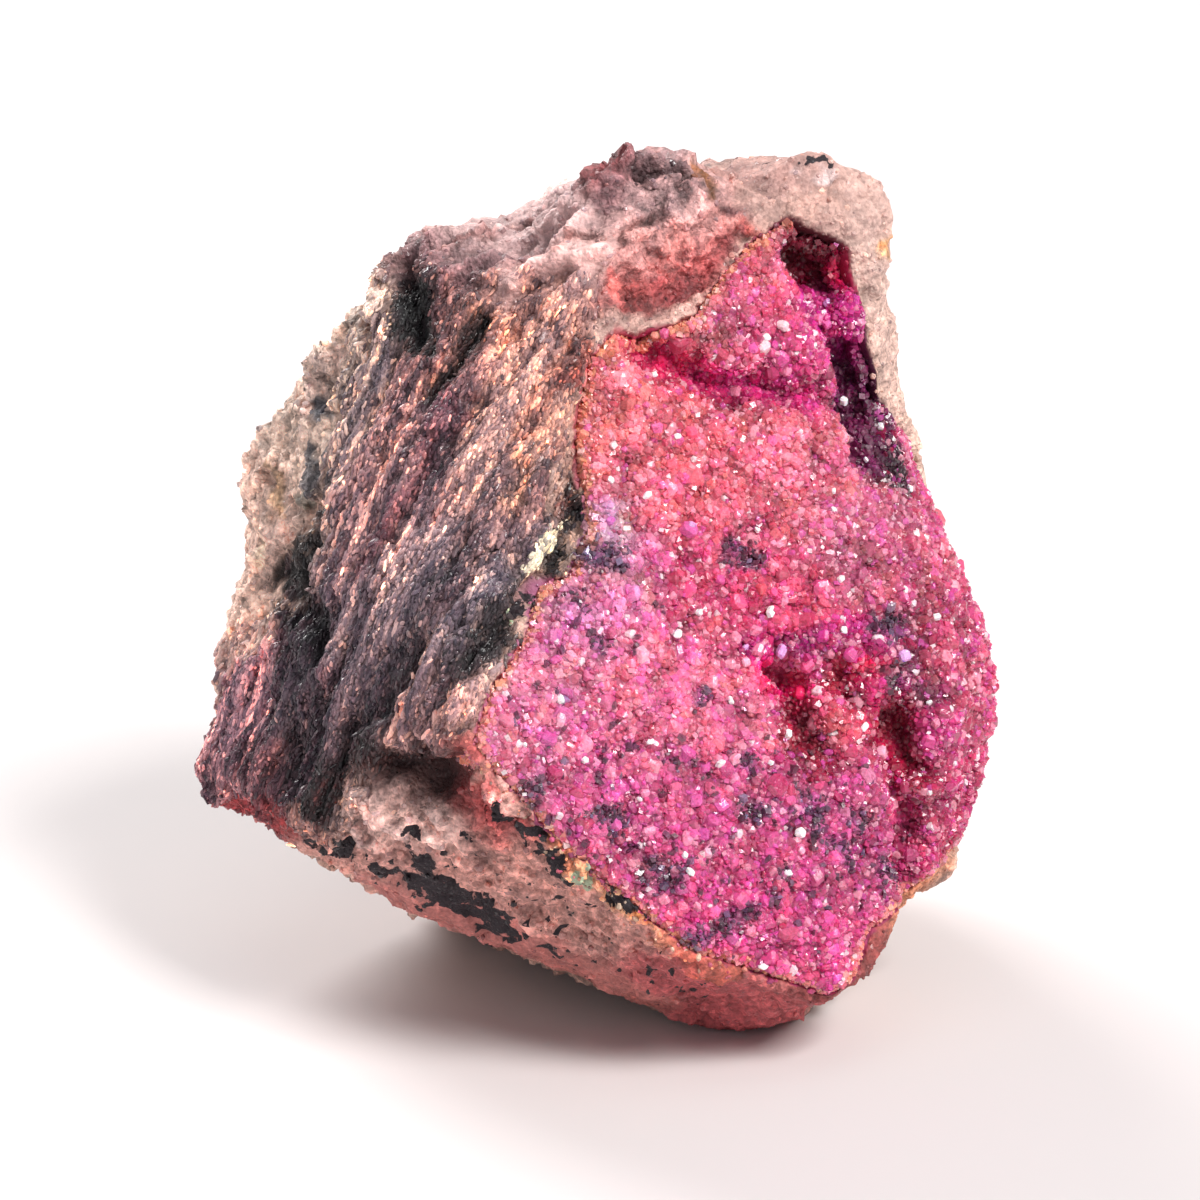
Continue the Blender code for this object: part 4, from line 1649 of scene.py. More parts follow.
    def _heights(self, cover: RockCover, rough: Array) -> Array:
        """Height of the broken surface over the smooth one, in millimetres."""
        points = cover.points + cover.warp * self.relief_shift
        broken = sum((layer.chips(points) for layer in self.chips), np.zeros(len(points)))
        broken = sum((layer.clouds(points) for layer in self.lumps), broken)
        fibres = sum(layer.ridges(points, self.fibre_length) for layer in self.fibres)
        heights = (broken * (1.0 - self.fibrous_calm * cover.fibrous) + fibres * cover.fibrous) * rough
        heights += stroke_heights(self.skin, points, ROCK_STROKES)
        return np.clip(heights, *self.heights)

    def _stain(self, rock: Mesh, cover: RockCover, colours: Array) -> Array:
        """Store each mineral's share of the rock and colour its patches."""
        crumbled = self.crumbs.clouds(cover.points)
        clusters = fade(self.fleck_clusters.clouds(cover.points), *self.cluster_levels)
        clusters = clusters * fade(cover.toward, *self.cluster_turning)
        flecked = np.maximum(LOWER_FACE.share(cover.seen), clusters) * crumbled * self.fleck_share
        patch_points = cover.points + cover.warp * self.patch_shift
        for mineral in Mineral:
            share = patch_share(self.skin, patch_points, ROCK_PATCHES[mineral], self.patch_edge)
            if mineral is Mineral.BLACK:
                crumbs = crumbled * self.crumb_share * (share > self.crust_edge)
                share = np.maximum(share + crumbs, flecked)
            add_attribute(rock, mineral.label, share)
            colours = np.where(share[:, None] > 0.5, np.array(mineral.tint), colours)
        return colours


@dataclass(frozen=True)
class RockFinish:
    """Finish of the host rock: grainy, matt, with glassy grains between dull ones.

    Attributes:
        shade: painted shade of the fibrous face's deep furrows, mixed in where the relief sinks.
    """

    shade: Colour = tone(44, 30, 36)

    def material(self) -> Material:
        """Build the material.

        Returns:
            The material.
        """
        graph = Graph("host_rock_finish")
        place = graph.in_millimetres()
        drawn = graph.along_fibres(place, 5.0)
        fibrous = graph.attribute("fibrous")
        relief = graph.attribute("relief")
        fine = graph.clouds(place, 0.35, 2.0)
        broad = graph.clouds(place, 1.7, 4.0)
        streaks = graph.clouds(drawn, 0.42, 3.0, 0.7)
        broad_streaks = graph.clouds(drawn, 1.3, 3.0, 0.6)
        sparkle = graph.clouds(place, 0.12, 1.0)

        colour = graph.attribute("ground", "Color")
        broken = graph.attribute("broken").clipped()
        cells = graph.grains(place, 0.55)
        mottled = 0.9 + ((broad.rise(0.3, 0.7) - 0.5) * 0.4 + (fine.rise(0.3, 0.7) - 0.5) * 0.5) * broken
        mottled = mottled * (1.0 + (cells - 0.5) * broken * 0.7)
        fibre_shade = 0.16 + streaks.rise(0.34, 0.66) * 0.75 + broad_streaks.rise(0.35, 0.68) * 0.5
        shade = mottled + (fibre_shade * mottled * 1.15 - mottled) * fibrous
        colour = graph.scaled(colour, shade)
        # Painted shade: the fibrous face turns towards the shade colour where its relief sinks into deep
        # furrows.
        deep = (0.0 - relief).rise(0.25, 1.1)
        colour = graph.blend(deep * fibrous * 0.7, colour, self.shade)

        edge = (fine - 0.5) * 0.9 + (broad - 0.5) * 0.5
        for mineral in Mineral:
            mask = (graph.attribute(mineral.label) + edge * 0.5).rise(0.47, 0.56)
            colour = graph.blend(mask, colour, mineral.tint)

        rough = 0.75 - sparkle.rise(0.60, 0.66) * 0.45
        crumbs = 1.0 - graph.grains(place, 0.38, "Distance")
        height = (fine * 0.6 + crumbs * 0.6 + cells * 0.5) * (0.3 + broken * 0.7) + streaks * fibrous * 0.9
        normal = graph.bump(height, 0.28)
        return graph.finish(
            Base_Color=colour, Roughness=rough.clipped(), Normal=normal, Specular_IOR_Level=0.5
        )


# ---------------------------------------------------------------- druse


# Most triangles in one piece of crystals
PIECE_FACES = 190000


@dataclass(frozen=True)
class Generation:
    """Crystals of one size range that grew together, and the name of their piece."""

    name: str
    habit: Habit
    # Triangles of each, sizes, tries for each square millimetre and the distance they keep
    faces: int
    sizes: Span
    density: float
    crowding: float
    # Height of their middles over the ground, as a share of the size
    lift: Span
    upper_share: float = 1.0
    stretch: Span = (0.8, 1.2)
    # Whether they grow in hollows and among specks, and whether they are the dark flecks
    in_hollows: bool = True
    on_specks: bool = False
    is_dark: bool = False


@dataclass(frozen=True)
class Variety:
    """Odd crystals among the others."""

    # Share of all crystals at which they begin and end
    start: float
    end: float
    colour: Colour
    strength: float


# How the tints drift from coral to magenta
HUE_DRIFT = np.array((0.0, -0.18, 0.30))

DRUSE_ZONES: tuple[Zone, ...] = (
    Zone("panel left", tone(212, 110, 128), ((720, 310), (745, 275)), 2.5),
    Zone("panel middle", tone(238, 86, 142), ((775, 320),), 3.0),
    Zone("panel low", tone(200, 62, 122), ((810, 365),), 2.5),
    # The vugs' colours are partly the crystals' own deep crimson and partly painted shade in the hollows.
    Zone("top vug", tone(108, 4, 34), ((792, 245), (815, 262), (832, 272)), 1.6),
    Zone("top vug wall", tone(230, 16, 92), ((846, 272),), 0.9),
    Zone("right vug", tone(100, 4, 66), ((850, 360), (865, 380), (862, 425), (880, 445)), 2.0),
    Zone("right vug foot", tone(42, 4, 26), ((890, 470),), 1.4),
    Zone("vug link", tone(200, 40, 132), ((826, 300), (822, 330), (836, 345)), 1.2),
    # The trench's colour is partly the crust's crimson and partly painted shadow under the panel's
    # overhanging rim.
    Zone("trench", tone(204, 10, 84), ((642, 353), (665, 361), (690, 368), (706, 376)), 1.2),
    Zone("trench tail", tone(210, 36, 122), ((706, 378), (740, 381), (800, 396)), 0.8),
    Zone("upper left", tone(252, 134, 144), ((620, 390), (620, 450)), 3.0),
    Zone("upper", tone(238, 106, 126), ((690, 410), (680, 470)), 4.0),
    Zone("middle", tone(246, 122, 146), ((740, 480), (800, 470)), 4.0),
    Zone("right", tone(198, 102, 130), ((840, 510), (890, 540)), 4.0),
    Zone("far right", tone(194, 76, 112), ((930, 580), (960, 660)), 3.5),
    Zone("left", tone(226, 136, 180), ((610, 550), (570, 610)), 3.0),
    Zone("left lilac", tone(212, 162, 188), ((604, 552), (614, 520)), 1.0),
    Zone("centre", tone(224, 78, 124), ((700, 580), (760, 590)), 4.0),
    Zone("lower left", tone(250, 140, 178), ((540, 660), (500, 740)), 4.0),
    Zone("low middle", tone(252, 128, 164), ((650, 680), (700, 700)), 4.0),
    Zone("left knob rim", tone(180, 32, 114), ((752, 645), (782, 648), (806, 645)), 0.7),
    Zone("left knob", tone(252, 118, 160), ((780, 655), (806, 664)), 1.0),
    Zone("right knob rim", tone(182, 42, 122), ((834, 640), (862, 633), (884, 642)), 0.7),
    Zone("right knob", tone(232, 28, 88), ((850, 652), (872, 654)), 1.3),
    Zone("magenta knob", tone(200, 38, 104), ((872, 688),), 1.4),
    Zone("coral knob", tone(252, 100, 134), ((831, 712),), 1.8),
    Zone("knob hollow", tone(246, 12, 112), ((762, 666), (780, 674), (798, 680)), 1.3),
    # The crescents beside and below the knobs are painted shade in the hollows beneath them.
    Zone("knob crescent", tone(138, 4, 46), ((838, 662), (842, 680), (851, 692)), 0.9),
    Zone("lower crescent", tone(150, 4, 46), ((796, 715), (800, 738), (816, 748)), 1.5),
    Zone("grey lilac", tone(110, 42, 72), ((898, 640), (906, 676)), 1.6),
    Zone("lower", tone(216, 94, 146), ((600, 760), (680, 820)), 5.0),
    Zone("lower dark", tone(204, 84, 136), ((760, 800), (850, 850)), 4.0),
    Zone("bottom", tone(232, 84, 146), ((700, 900), (780, 920), (830, 960)), 4.0),
    # The cavities' colours are painted shade in the hollows, over the crust's crimson.
    Zone("deep cavity", tone(176, 12, 64), ((890, 712), (898, 740), (908, 768)), 1.5),
    Zone("low cavity", tone(204, 62, 118), ((908, 800), (913, 842)), 1.3),
    Zone("right body", tone(204, 68, 130), ((942, 735),), 1.6),
    Zone("right rim", tone(182, 54, 100), ((950, 800), (940, 840)), 2.5),
    Zone("flank", tone(206, 80, 124), ((30.0, -4.0, 30.0),), 6.0),
)

DRUSE_STROKES: tuple[Stroke, ...] = (
    Stroke("top vug", ((790, 242), (808, 258), (828, 272)), 2.8, -1.1),
    Stroke("right vug", ((850, 358), (862, 385), (864, 422), (880, 446)), 3.0, -1.1),
    Stroke("vug link", ((826, 298), (822, 326), (838, 345)), 1.3, -0.5),
    Stroke("violet crystal", ((827, 320),), 1.0, 0.6),
    Stroke("trench", ((640, 352), (665, 362), (690, 368), (706, 378)), 1.5, -1.0),
    Stroke("trench tail", ((706, 378), (740, 382), (800, 396)), 1.0, -0.6),
    Stroke("left knob", ((758, 652), (784, 650), (806, 656)), 1.4, 0.6),
    Stroke("right knob", ((848, 648), (872, 650)), 2.0, 0.8),
    Stroke("magenta knob", ((870, 686),), 1.6, 0.5),
    Stroke("coral knob", ((832, 712),), 2.1, 0.9),
    Stroke("knob hollow", ((760, 667), (780, 674), (798, 681)), 1.4, -0.85),
    Stroke("knob crescent", ((838, 662), (842, 680), (851, 693)), 1.0, -0.9),
    Stroke("lower crescent", ((795, 715), (800, 738), (816, 750)), 1.7, -1.3),
    Stroke("deep cavity", ((890, 712), (898, 740), (908, 768)), 1.9, -0.9),
    Stroke("low cavity", ((908, 800), (913, 842)), 1.7, -0.7),
    Stroke("right body", ((940, 735),), 1.8, 0.4),
    Stroke("cavity bridge", ((892, 782), (904, 786), (916, 784)), 1.9, 1.8),
)

# Where small dark flecks are common
FLECKED_AREA = Outline(20.0, (
    (500, 700), (560, 660), (640, 720), (700, 745), (780, 750), (880, 775), (905, 850), (880, 910),
    (800, 945), (700, 940), (600, 880), (520, 820), (480, 770),
))

# Clusters of blue-black specks between the crystals
DRUSE_PATCHES: tuple[Patch, ...] = (
    Patch(((590, 555), (612, 560)), 0.9),
    Patch(((728, 548), (752, 562)), 0.8),
    Patch(((533, 785), (537, 795)), 0.6),
    Patch(((595, 812), (612, 822)), 0.9),
    Patch(((655, 865), (672, 880)), 0.9),
    Patch(((690, 942), (720, 925), (750, 912)), 0.8),
    Patch(((515, 818), (522, 828)), 0.6),
    Patch(((550, 858), (558, 866)), 0.6),
    Patch(((628, 903), (634, 910)), 0.6),
    Patch(((848, 815), (858, 828)), 0.6),
    Patch(((832, 845), (838, 850)), 0.6),
    Patch(((800, 790), (812, 800)), 0.5),
    Patch(((600, 640), (606, 650)), 0.5),
    Patch(((700, 690), (704, 700)), 0.4),
    Patch(((655, 600), (660, 606)), 0.4),
    Patch(((640, 880), (648, 884)), 0.4),
    Patch(((780, 870), (786, 878)), 0.4),
    Patch(((893, 618), (890, 632)), 0.6),
    Patch(((868, 624), (874, 628)), 0.4),
    Patch(((890, 672), (894, 684)), 0.4),
    Patch(((744, 762), (750, 774)), 0.6),
    Patch(((740, 806), (758, 812)), 0.6),
    Patch(((812, 808), (818, 840)), 0.6),
    Patch(((884, 868), (890, 878)), 0.6),
    Patch(((840, 858), (846, 868)), 0.4),
    Patch(((770, 888), (776, 896)), 0.4),
    Patch(((580, 600), (586, 608)), 0.5),
    Patch(((572, 626), (578, 634)), 0.3),
    Patch(((628, 650), (636, 642)), 0.3),
)


@dataclass(frozen=True)
class MarkedKind:
    """Crystals of one kind that stand out."""

    name: str
    colour: Colour
    size: float
    places: tuple[Place, ...]


MARKED_KINDS: tuple[MarkedKind, ...] = (
    # White crystals at the listed places that stand for glints: painted highlights, white whatever the
    # light.
    MarkedKind("painted_glints", tone(255, 246, 250), 0.72, (
        (647, 495), (705, 449), (833, 491), (833, 510), (866, 460), (843, 401), (897, 391), (879, 426),
        (654, 376), (677, 436), (765, 337), (909, 489), (650, 742), (897, 688), (929, 702), (864, 727),
        (720, 764), (685, 855), (690, 872), (763, 965), (843, 630), (935, 618), (787, 734), (770, 763),
        (800, 833), (787, 874), (940, 781), (771, 612), (699, 612), (676, 634), (840, 580), (905, 590),
        (560, 700), (600, 700), (525, 745), (640, 800), (585, 760), (730, 700), (610, 480), (757, 530),
    )),
    MarkedKind("violet crystals", tone(222, 104, 170), 1.25, (
        (827, 322), (555, 660), (615, 825), (695, 800), (688, 530),
    )),
    MarkedKind("lilac crystals", tone(226, 170, 226), 0.95, (
        (828, 305), (782, 650), (690, 527), (745, 648), (902, 655),
    )),
    MarkedKind("pale pink crystals", tone(252, 176, 200), 1.05, (
        (879, 753), (893, 776), (708, 853), (800, 850), (735, 760), (745, 662), (640, 655), (560, 720),
    )),
)


@dataclass(frozen=True)
class DruseCover:
    """What the druse's ground is like at each of its points."""

    tints: Array
    rim: Array
    # Distance to the rock, and whether crystals can grow
    gap: Array
    open_side: Array
    # How much pale crystals stand out, 0 in hollows, and shares of flecks and of the lower half
    pale: Array
    flecks: Array
    lower: Array


@dataclass(frozen=True)
class DruseStain:
    """Stains of the druse: its dark specks and flecks, and its rim."""

    speck_edge: float = 0.5
    fleck_clouds: Layer = Layer(0.7, 1.0, 31.0)
    fleck_levels: Span = (0.3, 0.55)
    fleck_share: float = 0.45
    # Colour of the ground among specks and flecks, and how much of it each takes
    haze: Colour = tone(150, 92, 128)
    speck_haze: float = 0.7
    fleck_haze: float = 0.6
    rim_clouds: Layer = Layer(0.9, 0.25, 21.0)
    rim_gap: Span = (0.35, 0.75)

    def darkened(
        self, skin: PackedSkin, points: Array, shifted: Array, tints: Array
    ) -> tuple[Array, Array]:
        """Colours of the ground with its specks and flecks.

        Args:
            skin: surface that carries the specks.
            points: the ground's points, in millimetres.
            shifted: the same, shifted as zones and patches are.
            tints: colours without specks and flecks.

        Returns:
            One colour for each point, and its share of specks or flecks.
        """
        specks = patch_share(skin, shifted, DRUSE_PATCHES, self.speck_edge)
        flecks = fade(self.fleck_clouds.clouds(points), *self.fleck_levels)
        flecks = flecks * FLECKED_AREA.share(skin.view.seen_at(points)) * self.fleck_share
        stain = np.maximum(specks * self.speck_haze, flecks * self.fleck_haze)[:, None]
        return tints * (1.0 - stain) + np.array(self.haze) * stain, np.maximum(specks, flecks)

    def rim(self, skin: PackedSkin, points: Array, gap: Array) -> Array:
        """Share of the rim towards the rock, which the pocket lacks.

        Args:
            skin: surface of the solids.
            points: the ground's points, in millimetres.
            gap: distance of each to the rock, in millimetres.

        Returns:
            One share for each point.
        """
        share = 1.0 - fade(gap + self.rim_clouds.clouds(points), *self.rim_gap)
        return share * (1.0 - POCKET.share(skin.view.seen_at(points)))


@dataclass(frozen=True)
class CrystalTints:
    """How the crystals' tints vary."""

    # How lightness and hue drift, and how far each crystal strays
    light: Layer = Layer(1.6, 0.35, 4.2)
    light_spread: float = 0.12
    hue: Layer = Layer(1.8, 1.0, 9.6)
    hue_spread: float = 0.16
    varieties: tuple[Variety, ...] = (
        Variety(0.00, 0.07, tone(226, 90, 186), 0.45),
        Variety(0.08, 0.24, tone(252, 176, 196), 0.50),
        Variety(0.24, 0.36, tone(176, 18, 74), 0.50),
        # Near-white crystals: painted highlights that stand for glints at random.
        Variety(0.36, 0.375, tone(250, 226, 232), 0.80),
    )
    rim_shares: Span = (0.3, 0.9)
    slate: Colour = tone(46, 44, 60)
    slate_share: float = 0.8
    slate_spread: float = 0.8

    def varied(
        self, places: Array, tints: Array, rim: Array, pale: Array, rng: Draws
    ) -> Array:
        """Tint of each crystal: the druse's colour there, varied at random.

        Args:
            places: one row for each crystal, in millimetres.
            tints: colour of the druse at each.
            rim: share of the rim's colour at each.
            pale: how much odd crystals may stand out at each.
            rng: source of the draws.

        Returns:
            One colour for each crystal.
        """
        count = len(places)
        light = self.light.clouds(places) + rng.normal(0.0, self.light_spread, count)
        drift = self.hue.clouds(places) + rng.normal(0.0, self.hue_spread, count)
        tints = tints * np.exp(light[:, None] + drift[:, None] * HUE_DRIFT)
        draw = rng.random(count)
        for variety in self.varieties:
            chosen = (draw >= variety.start) & (draw < variety.end)
            share = (chosen * variety.strength * pale)[:, None]
            tints = tints * (1.0 - share) + np.array(variety.colour) * share
        share = rim[:, None] * rng.uniform(*self.rim_shares, count)[:, None]
        return tints * (1.0 - share) + np.array(RIM_ORANGE) * share

    def slated(self, tints: Array, rng: Draws) -> Array:
        """Tints of dark flecks that grow where crystals would have these tints."""
        strays = np.exp(rng.normal(0.0, self.slate_spread, len(tints)))[:, None]
        return np.array(self.slate) * strays * self.slate_share + tints * (1.0 - self.slate_share)


@dataclass
class Druse:
    """The crust of pink crystals on its dark ground."""

    skin: PackedSkin
    # Edge of a ground face
    voxel: float = 0.38
    # Rounds of smoothing near the rock and elsewhere
    smoothing: tuple[int, int] = (2, 8)
    near_gap: float = 1.2
    # How far the ground grows to close the fit gap
    spread: float = 0.28
    # How far uneven shifts move what is drawn on the druse
    warp: Warp = Warp(2.2, 2, (2.9, 6.3, 12.1))
    stroke_shift: float = 0.6
    zone_shift: float = 0.5
    # The rounded aggregates, and the painted light and shade that makes them lighter for each millimetre of
    # height
    domes: tuple[Layer, ...] = (Layer(2.8, 0.50), Layer(1.35, 0.42))
    dome_gap: Span = (0.3, 1.0)
    dome_shade: float = 1.1
    # Lowest and highest the ground may go, and depths between which a hollow ends
    depths: Span = (-1.5, 1.2)
    hollow_depths: Span = (-0.6, -0.1)
    # Where crystals grow; the lower half is in frame units down the front view
    open_gap: float = 0.22
    open_facing: float = -0.35
    lower_half: Span = (520.0, 640.0)
    speck_limit: float = 0.6
    edge_room: float = 0.8
    size_bias: float = 1.6
    lean: Span = (0.0, 0.6)
    # Crystals that stand out, as a share of their kind's size
    marked_sizes: Span = (0.6, 1.15)
    marked_lean: Span = (0.0, 0.7)
    marked_stretch: Span = (0.7, 1.4)
    marked_lift: float = 0.15
    stain: DruseStain = DruseStain()
    tints: CrystalTints = CrystalTints()
    generations: tuple[Generation, ...] = (
        Generation(
            "bold_crystals", Habit.BLUNT_RHOMB, faces=44, sizes=(1.15, 1.8), density=1.2, crowding=0.9,
            lift=(-0.36, -0.16), upper_share=0.15, in_hollows=False,
        ),
        Generation(
            "common_crystals", Habit.BLUNT_RHOMB, faces=44, sizes=(0.78, 1.2), density=6.0, crowding=0.74,
            lift=(-0.36, -0.12), upper_share=0.7, in_hollows=False,
        ),
        Generation(
            "rounded_crystals", Habit.PEBBLE, faces=20, sizes=(0.6, 1.05), density=10.0, crowding=0.60,
            lift=(-0.36, -0.1),
        ),
        Generation(
            "fine_crystals", Habit.RHOMB, faces=12, sizes=(0.38, 0.62), density=24.0, crowding=0.50,
            lift=(-0.25, 0.05), on_specks=True,
        ),
        Generation(
            "dark_flecks", Habit.RHOMB, faces=12, sizes=(0.16, 0.32), density=12.0, crowding=0.7,
            lift=(0.3, 1.0), stretch=(0.5, 2.6), is_dark=True,
        ),
    )
    seed: int = 41
    rng: Draws = field(init=False)

    def build(self) -> None:
        """Make the ground and its crystals and put them into the scene."""
        self.rng = np.random.default_rng(self.seed)
        body = remeshed(merged_copy(CRUST_NODE), "crust_grid", self.voxel)
        far = self.skin.gap_to(ROCK_NODE, places_of(body)) > self.near_gap
        smooth(body, self.smoothing[0], far, self.smoothing[1])
        points, normals = places_of(body), normals_of(body)
        warp = self.warp.at(points)
        gap = self.skin.gap_to(ROCK_NODE, points)
        lumps = sum(layer.domes(points) for layer in self.domes) * fade(gap, *self.dome_gap)
        deep = stroke_heights(self.skin, points + warp * self.stroke_shift, DRUSE_STROKES)
        move_points(body, normals * (self.spread + np.clip(lumps + deep, *self.depths))[:, None])
        tree = BVHTree.FromBMesh(body)
        mesh = bpy.data.meshes.new("druse_ground")
        body.to_mesh(mesh)
        body.free()
        shifted = points + warp * self.zone_shift
        # Painted light and shade: the ground's tints are lighter on the domes' tops and darker in their
        # creases.
        tints = blend_zones(self.skin, shifted, DRUSE_ZONES)[0] * np.exp(lumps * self.dome_shade)[:, None]
        tints, flecks = self.stain.darkened(self.skin, points, shifted, tints)
        moved = np.array([vertex.co for vertex in mesh.vertices]) / MM
        cover = DruseCover(
            tints=tints,
            rim=self.stain.rim(self.skin, points, gap),
            gap=gap,
            open_side=(gap > self.open_gap) & (normals @ DRUSE_OUT > self.open_facing),
            pale=fade(deep, *self.hollow_depths),
            flecks=flecks,
            lower=fade(self.skin.view.seen_at(moved)[:, 1], *self.lower_half),
        )
        add_attribute(mesh, "tint", cover.tints)
        add_attribute(mesh, "rim", cover.rim)
        mesh.shade_smooth()
        place_piece("druse_ground", mesh, GroundFinish().material(), CRUST_NODE)
        self._plant(mesh, cover)
        self._set_marks(tree)

    def _plant(self, ground: Mesh, cover: DruseCover) -> None:
        """Cover the ground's open side with crystals, one generation after the other."""
        taken: list[tuple[Array, float]] = []
        for generation in self.generations:
            weights = cover.open_side * self._share_of(generation, cover)
            sites = draw_sites(ground, generation.density, self.rng, weights)
            low, high = generation.sizes
            sizes = low + (high - low) * self.rng.random(len(sites.places)) ** self.size_bias
            kept = thin_out(sites.places, sizes, generation.crowding, [] if generation.is_dark else taken)
            kept = kept[: PIECE_FACES // generation.faces]
            sites, sizes = sites.picked(kept), sizes[kept]
            corners = sites.corners
            calm = cover.pale[corners] * (1.0 - cover.flecks[corners])
            tints = self.tints.varied(
                sites.places, cover.tints[corners], cover.rim[corners], calm, self.rng
            )
            if generation.is_dark:
                tints = self.tints.slated(tints, self.rng)
            self._grow(generation, sites, sizes, tints, cover.pale[corners])

    def _share_of(self, generation: Generation, cover: DruseCover) -> Array:
        """Share of its density at which one generation grows at each point of the ground."""
        if generation.is_dark:
            return cover.flecks
        share = generation.upper_share + (1.0 - generation.upper_share) * cover.lower
        if not generation.on_specks:
            room = generation.sizes[0] * self.edge_room
            share = share * (cover.flecks < self.speck_limit) * (cover.gap > room)
        if not generation.in_hollows:
            share = share * cover.pale
        return share

    def _grow(
        self, generation: Generation, sites: Sites, sizes: Array, tints: Array, pale: Array
    ) -> None:
        """Join one generation's crystals into a piece."""
        count = len(sizes)
        turns = turned_up(sites.normals, self.rng.uniform(*self.lean, count), self.rng)
        stretch = self._stretches(sizes, generation.stretch)
        lift = sizes * self.rng.uniform(*generation.lift, count)
        dullness = np.maximum(self.rng.random(count) ** 2, 1.0 - pale)
        mesh = scatter(generation.name, generation.habit, sites, turns, stretch, lift, tints, dullness)
        finish = CrystalFinish(f"{generation.name}_finish")
        place_piece(generation.name, mesh, finish.material())

    def _stretches(self, sizes: Array, span: Span) -> Array:
        """Size of each crystal along each of its axes, in millimetres."""
        axes = [self.rng.uniform(*span, len(sizes)) for _ in range(3)]
        return np.stack(axes, axis=1) * sizes[:, None]

    def _set_marks(self, ground: BVHTree) -> None:
        """Grow the crystals that stand out."""
        start = self.skin.view.position
        places, normals, kinds = [], [], []
        for kind in MARKED_KINDS:
            for place in kind.places:
                point, normal, _, _ = ground.ray_cast(start, self.skin.view.direction(place))
                if point is not None:
                    places.append(point / MM)
                    normals.append(normal)
                    kinds.append(kind)
        count = len(kinds)
        sites = Sites(np.array(places), np.array(normals), np.zeros(count, int))
        sizes = np.array([kind.size for kind in kinds]) * self.rng.uniform(*self.marked_sizes, count)
        turns = turned_up(sites.normals, self.rng.uniform(*self.marked_lean, count), self.rng)
        stretch = self._stretches(sizes, self.marked_stretch)
        tints = np.array([kind.colour for kind in kinds])
        mesh = scatter(
            "marked_crystals", Habit.BLUNT_RHOMB, sites, turns, stretch, sizes * self.marked_lift, tints,
            np.zeros(count),
        )
        finish = CrystalFinish("marked_crystals_finish")
        place_piece("marked_crystals", mesh, finish.material())


@dataclass(frozen=True)
class CrystalFinish:
    """Finish of crystals and sparry grains: glassy, and lit through a little.

    Attributes:
        name: name of the material.
        smoothest: roughness of the glossiest crystals.
        dullest: roughness of the dullest ones.
        glow: share of light that enters and spreads under a face.
        coat: weight of the clear sheen.
    """

    name: str
    smoothest: float = 0.08
    dullest: float = 0.45
    glow: float = 0.4
    coat: float = 0.3

    def material(self) -> Material:
        """Build the material.

        Returns:
            The material.
        """
        graph = Graph(self.name)
        place = graph.in_millimetres()
        dullness = graph.attribute("dullness")
        fine = graph.clouds(place, 0.17, 2.0)
        depths = graph.clouds(place, 0.5, 2.0).rise(0.48, 0.72)
        colour = graph.scaled(graph.attribute("tint", "Color"), 0.5 + fine)
        deeper = graph.blend(1.0, colour, colour, "MULTIPLY")
        colour = graph.blend(depths * 0.55, colour, deeper)
        rough = self.smoothest + dullness * (self.dullest - self.smoothest)
        return graph.finish(
            Base_Color=colour, Roughness=rough, IOR=1.6, Coat_Weight=self.coat, Coat_Roughness=0.08,
            Subsurface_Weight=self.glow, Subsurface_Radius=(1.0, 0.3, 0.45), Subsurface_Scale=0.6 * MM,
            Normal=graph.bump(fine, 0.05),
        )


@dataclass(frozen=True)
class GroundFinish:
    """Finish of the ground between the crystals: darker than they are, a painted shade between them.

    Attributes:
        depth: how light the ground is beside its crystals, a painted shade between them.
        rim: colour of the thin rim towards the rock.
    """

    depth: float = 0.66
    rim: Colour = tone(226, 148, 108)

    def material(self) -> Material:
        """Build the material.

        Returns:
            The material.
        """
        graph = Graph("druse_ground_finish")
        place = graph.in_millimetres()
        clouds = graph.clouds(place, 0.5, 3.0)
        # Painted shade: the ground is darkened beside its crystals.
        colour = graph.scaled(graph.attribute("tint", "Color"), self.depth * (0.5 + clouds))
        colour = graph.blend(graph.attribute("rim") * 0.8, colour, self.rim)
        normal = graph.bump(graph.grains(place, 0.4, "Distance"), 0.25)
        return graph.finish(Base_Color=colour, Roughness=0.35, Normal=normal)


# ---------------------------------------------------------------- studio


@dataclass(frozen=True)
class Lamp:
    """One soft light."""

    name: str
    # To the right of the camera and over the horizon in degrees, then metres and watts
    azimuth: float
    elevation: float
    distance: float
    size: float
    power: float
    colour: Colour = (1.0, 1.0, 1.0)


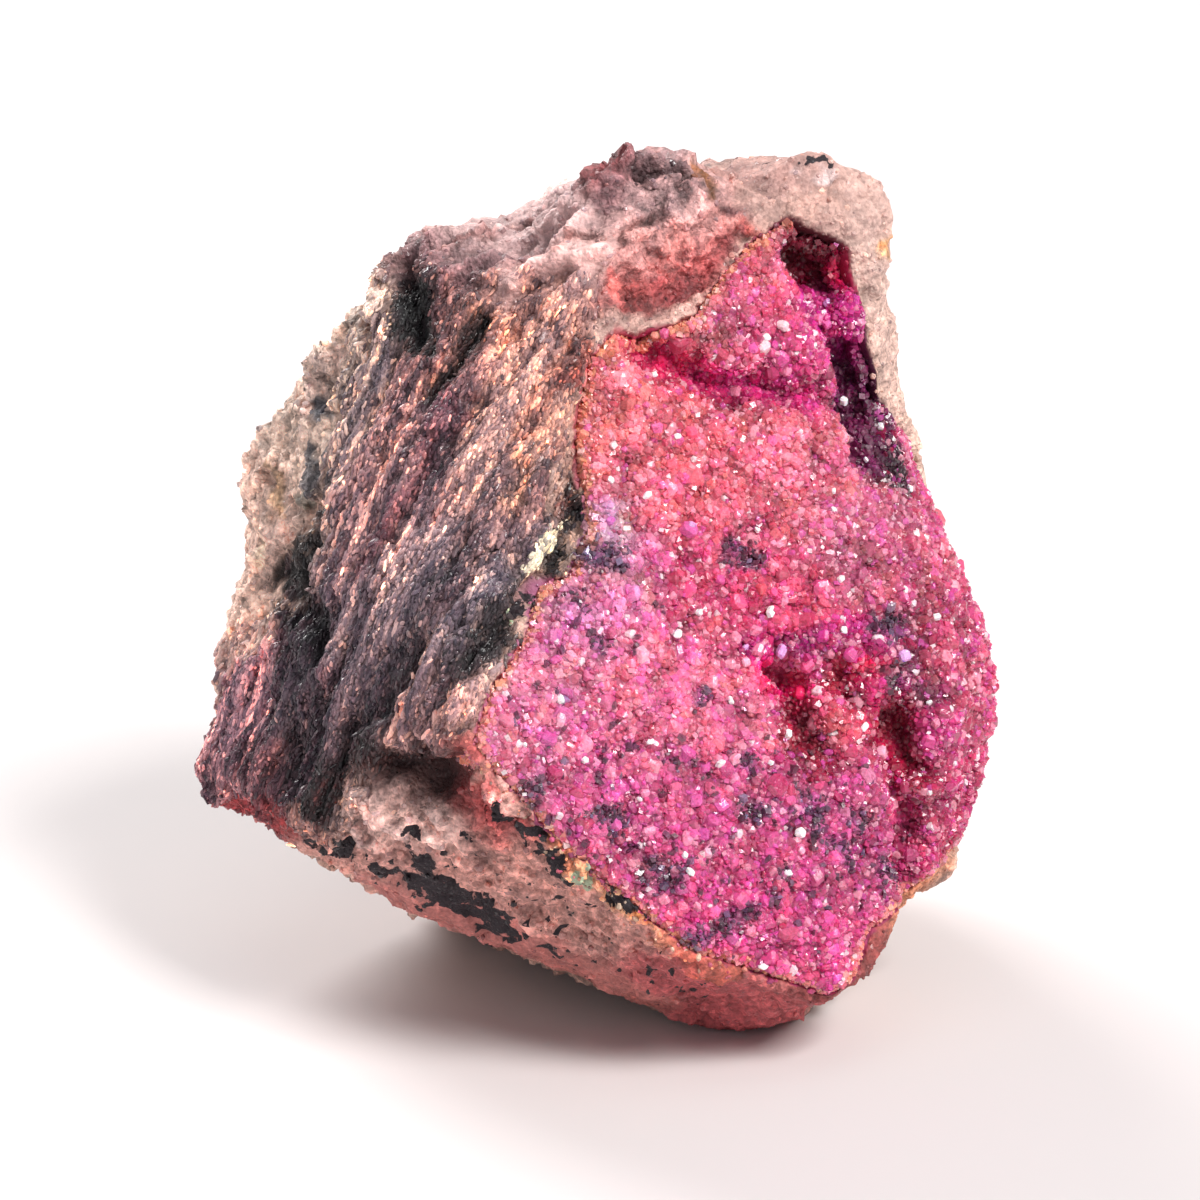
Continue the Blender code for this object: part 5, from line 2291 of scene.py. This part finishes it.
@dataclass
class Studio:
    """Plain pale floor and soft lights."""

    lamps: tuple[Lamp, ...] = (
        Lamp("key_light", 48.0, 46.0, 0.9, 0.32, 10.0, (1.0, 0.985, 0.96)),
        Lamp("fill_light", -40.0, 25.0, 1.1, 0.9, 0.9, (0.93, 0.96, 1.0)),
        Lamp("back_light", -145.0, 36.0, 1.0, 0.5, 11.0, (1.0, 0.98, 0.96)),
        Lamp("top_light", -10.0, 78.0, 1.0, 0.6, 1.0),
    )
    # Lengths in metres, and the surrounding light
    aim: tuple[float, float, float] = (0.0, 0.0, 0.03)
    floor_reach: float = 4.0
    floor_colour: Colour = (0.74, 0.70, 0.70)
    floor_roughness: float = 0.6
    sky: Colour = (0.80, 0.84, 0.90)
    sky_strength: float = 0.26

    def build(self) -> None:
        """Make the floor, the lights and the surrounding light."""
        self._lay_floor()
        for lamp in self.lamps:
            self._hang(lamp)
        world = bpy.data.worlds.new("studio")
        bpy.context.scene.world = world
        world.use_nodes = True
        background = world.node_tree.nodes["Background"]
        background.inputs["Color"].default_value = (*self.sky, 1.0)
        background.inputs["Strength"].default_value = self.sky_strength
        bpy.context.scene.view_settings.view_transform = "Standard"

    def _lay_floor(self) -> None:
        """Make the floor."""
        sheet = bmesh.new()
        bmesh.ops.create_grid(sheet, x_segments=1, y_segments=1, size=self.floor_reach)
        mesh = bpy.data.meshes.new("floor")
        sheet.to_mesh(mesh)
        sheet.free()
        finish = Graph("floor_finish").finish(
            Base_Color=(*self.floor_colour, 1.0), Roughness=self.floor_roughness
        )
        mesh.materials.append(finish)
        floor = bpy.data.objects.new("floor", mesh)
        bpy.context.scene.collection.objects.link(floor)

    def _hang(self, lamp: Lamp) -> None:
        """Make one light that points at the specimen."""
        azimuth, elevation = math.radians(lamp.azimuth), math.radians(lamp.elevation)
        toward = Vector((
            math.sin(azimuth) * math.cos(elevation),
            -math.cos(azimuth) * math.cos(elevation),
            math.sin(elevation),
        ))
        data = bpy.data.lights.new(lamp.name, "AREA")
        data.energy = lamp.power
        data.size = lamp.size
        data.color = lamp.colour
        light = bpy.data.objects.new(lamp.name, data)
        light.location = Vector(self.aim) + toward * lamp.distance
        light.rotation_euler = (-toward).to_track_quat("-Z", "Y").to_euler()
        bpy.context.scene.collection.objects.link(light)


def main() -> None:
    """Build the specimen and its studio."""
    logging.basicConfig(level=logging.INFO, format="%(name)s: %(message)s")
    noise.seed_set(NOISE_SEED)
    view = FrontView()
    view.set_up_camera()
    skin = PackedSkin(view)
    HostRock(skin).build()
    Druse(skin).build()
    Studio().build()


if __name__ == "__main__":
    main()
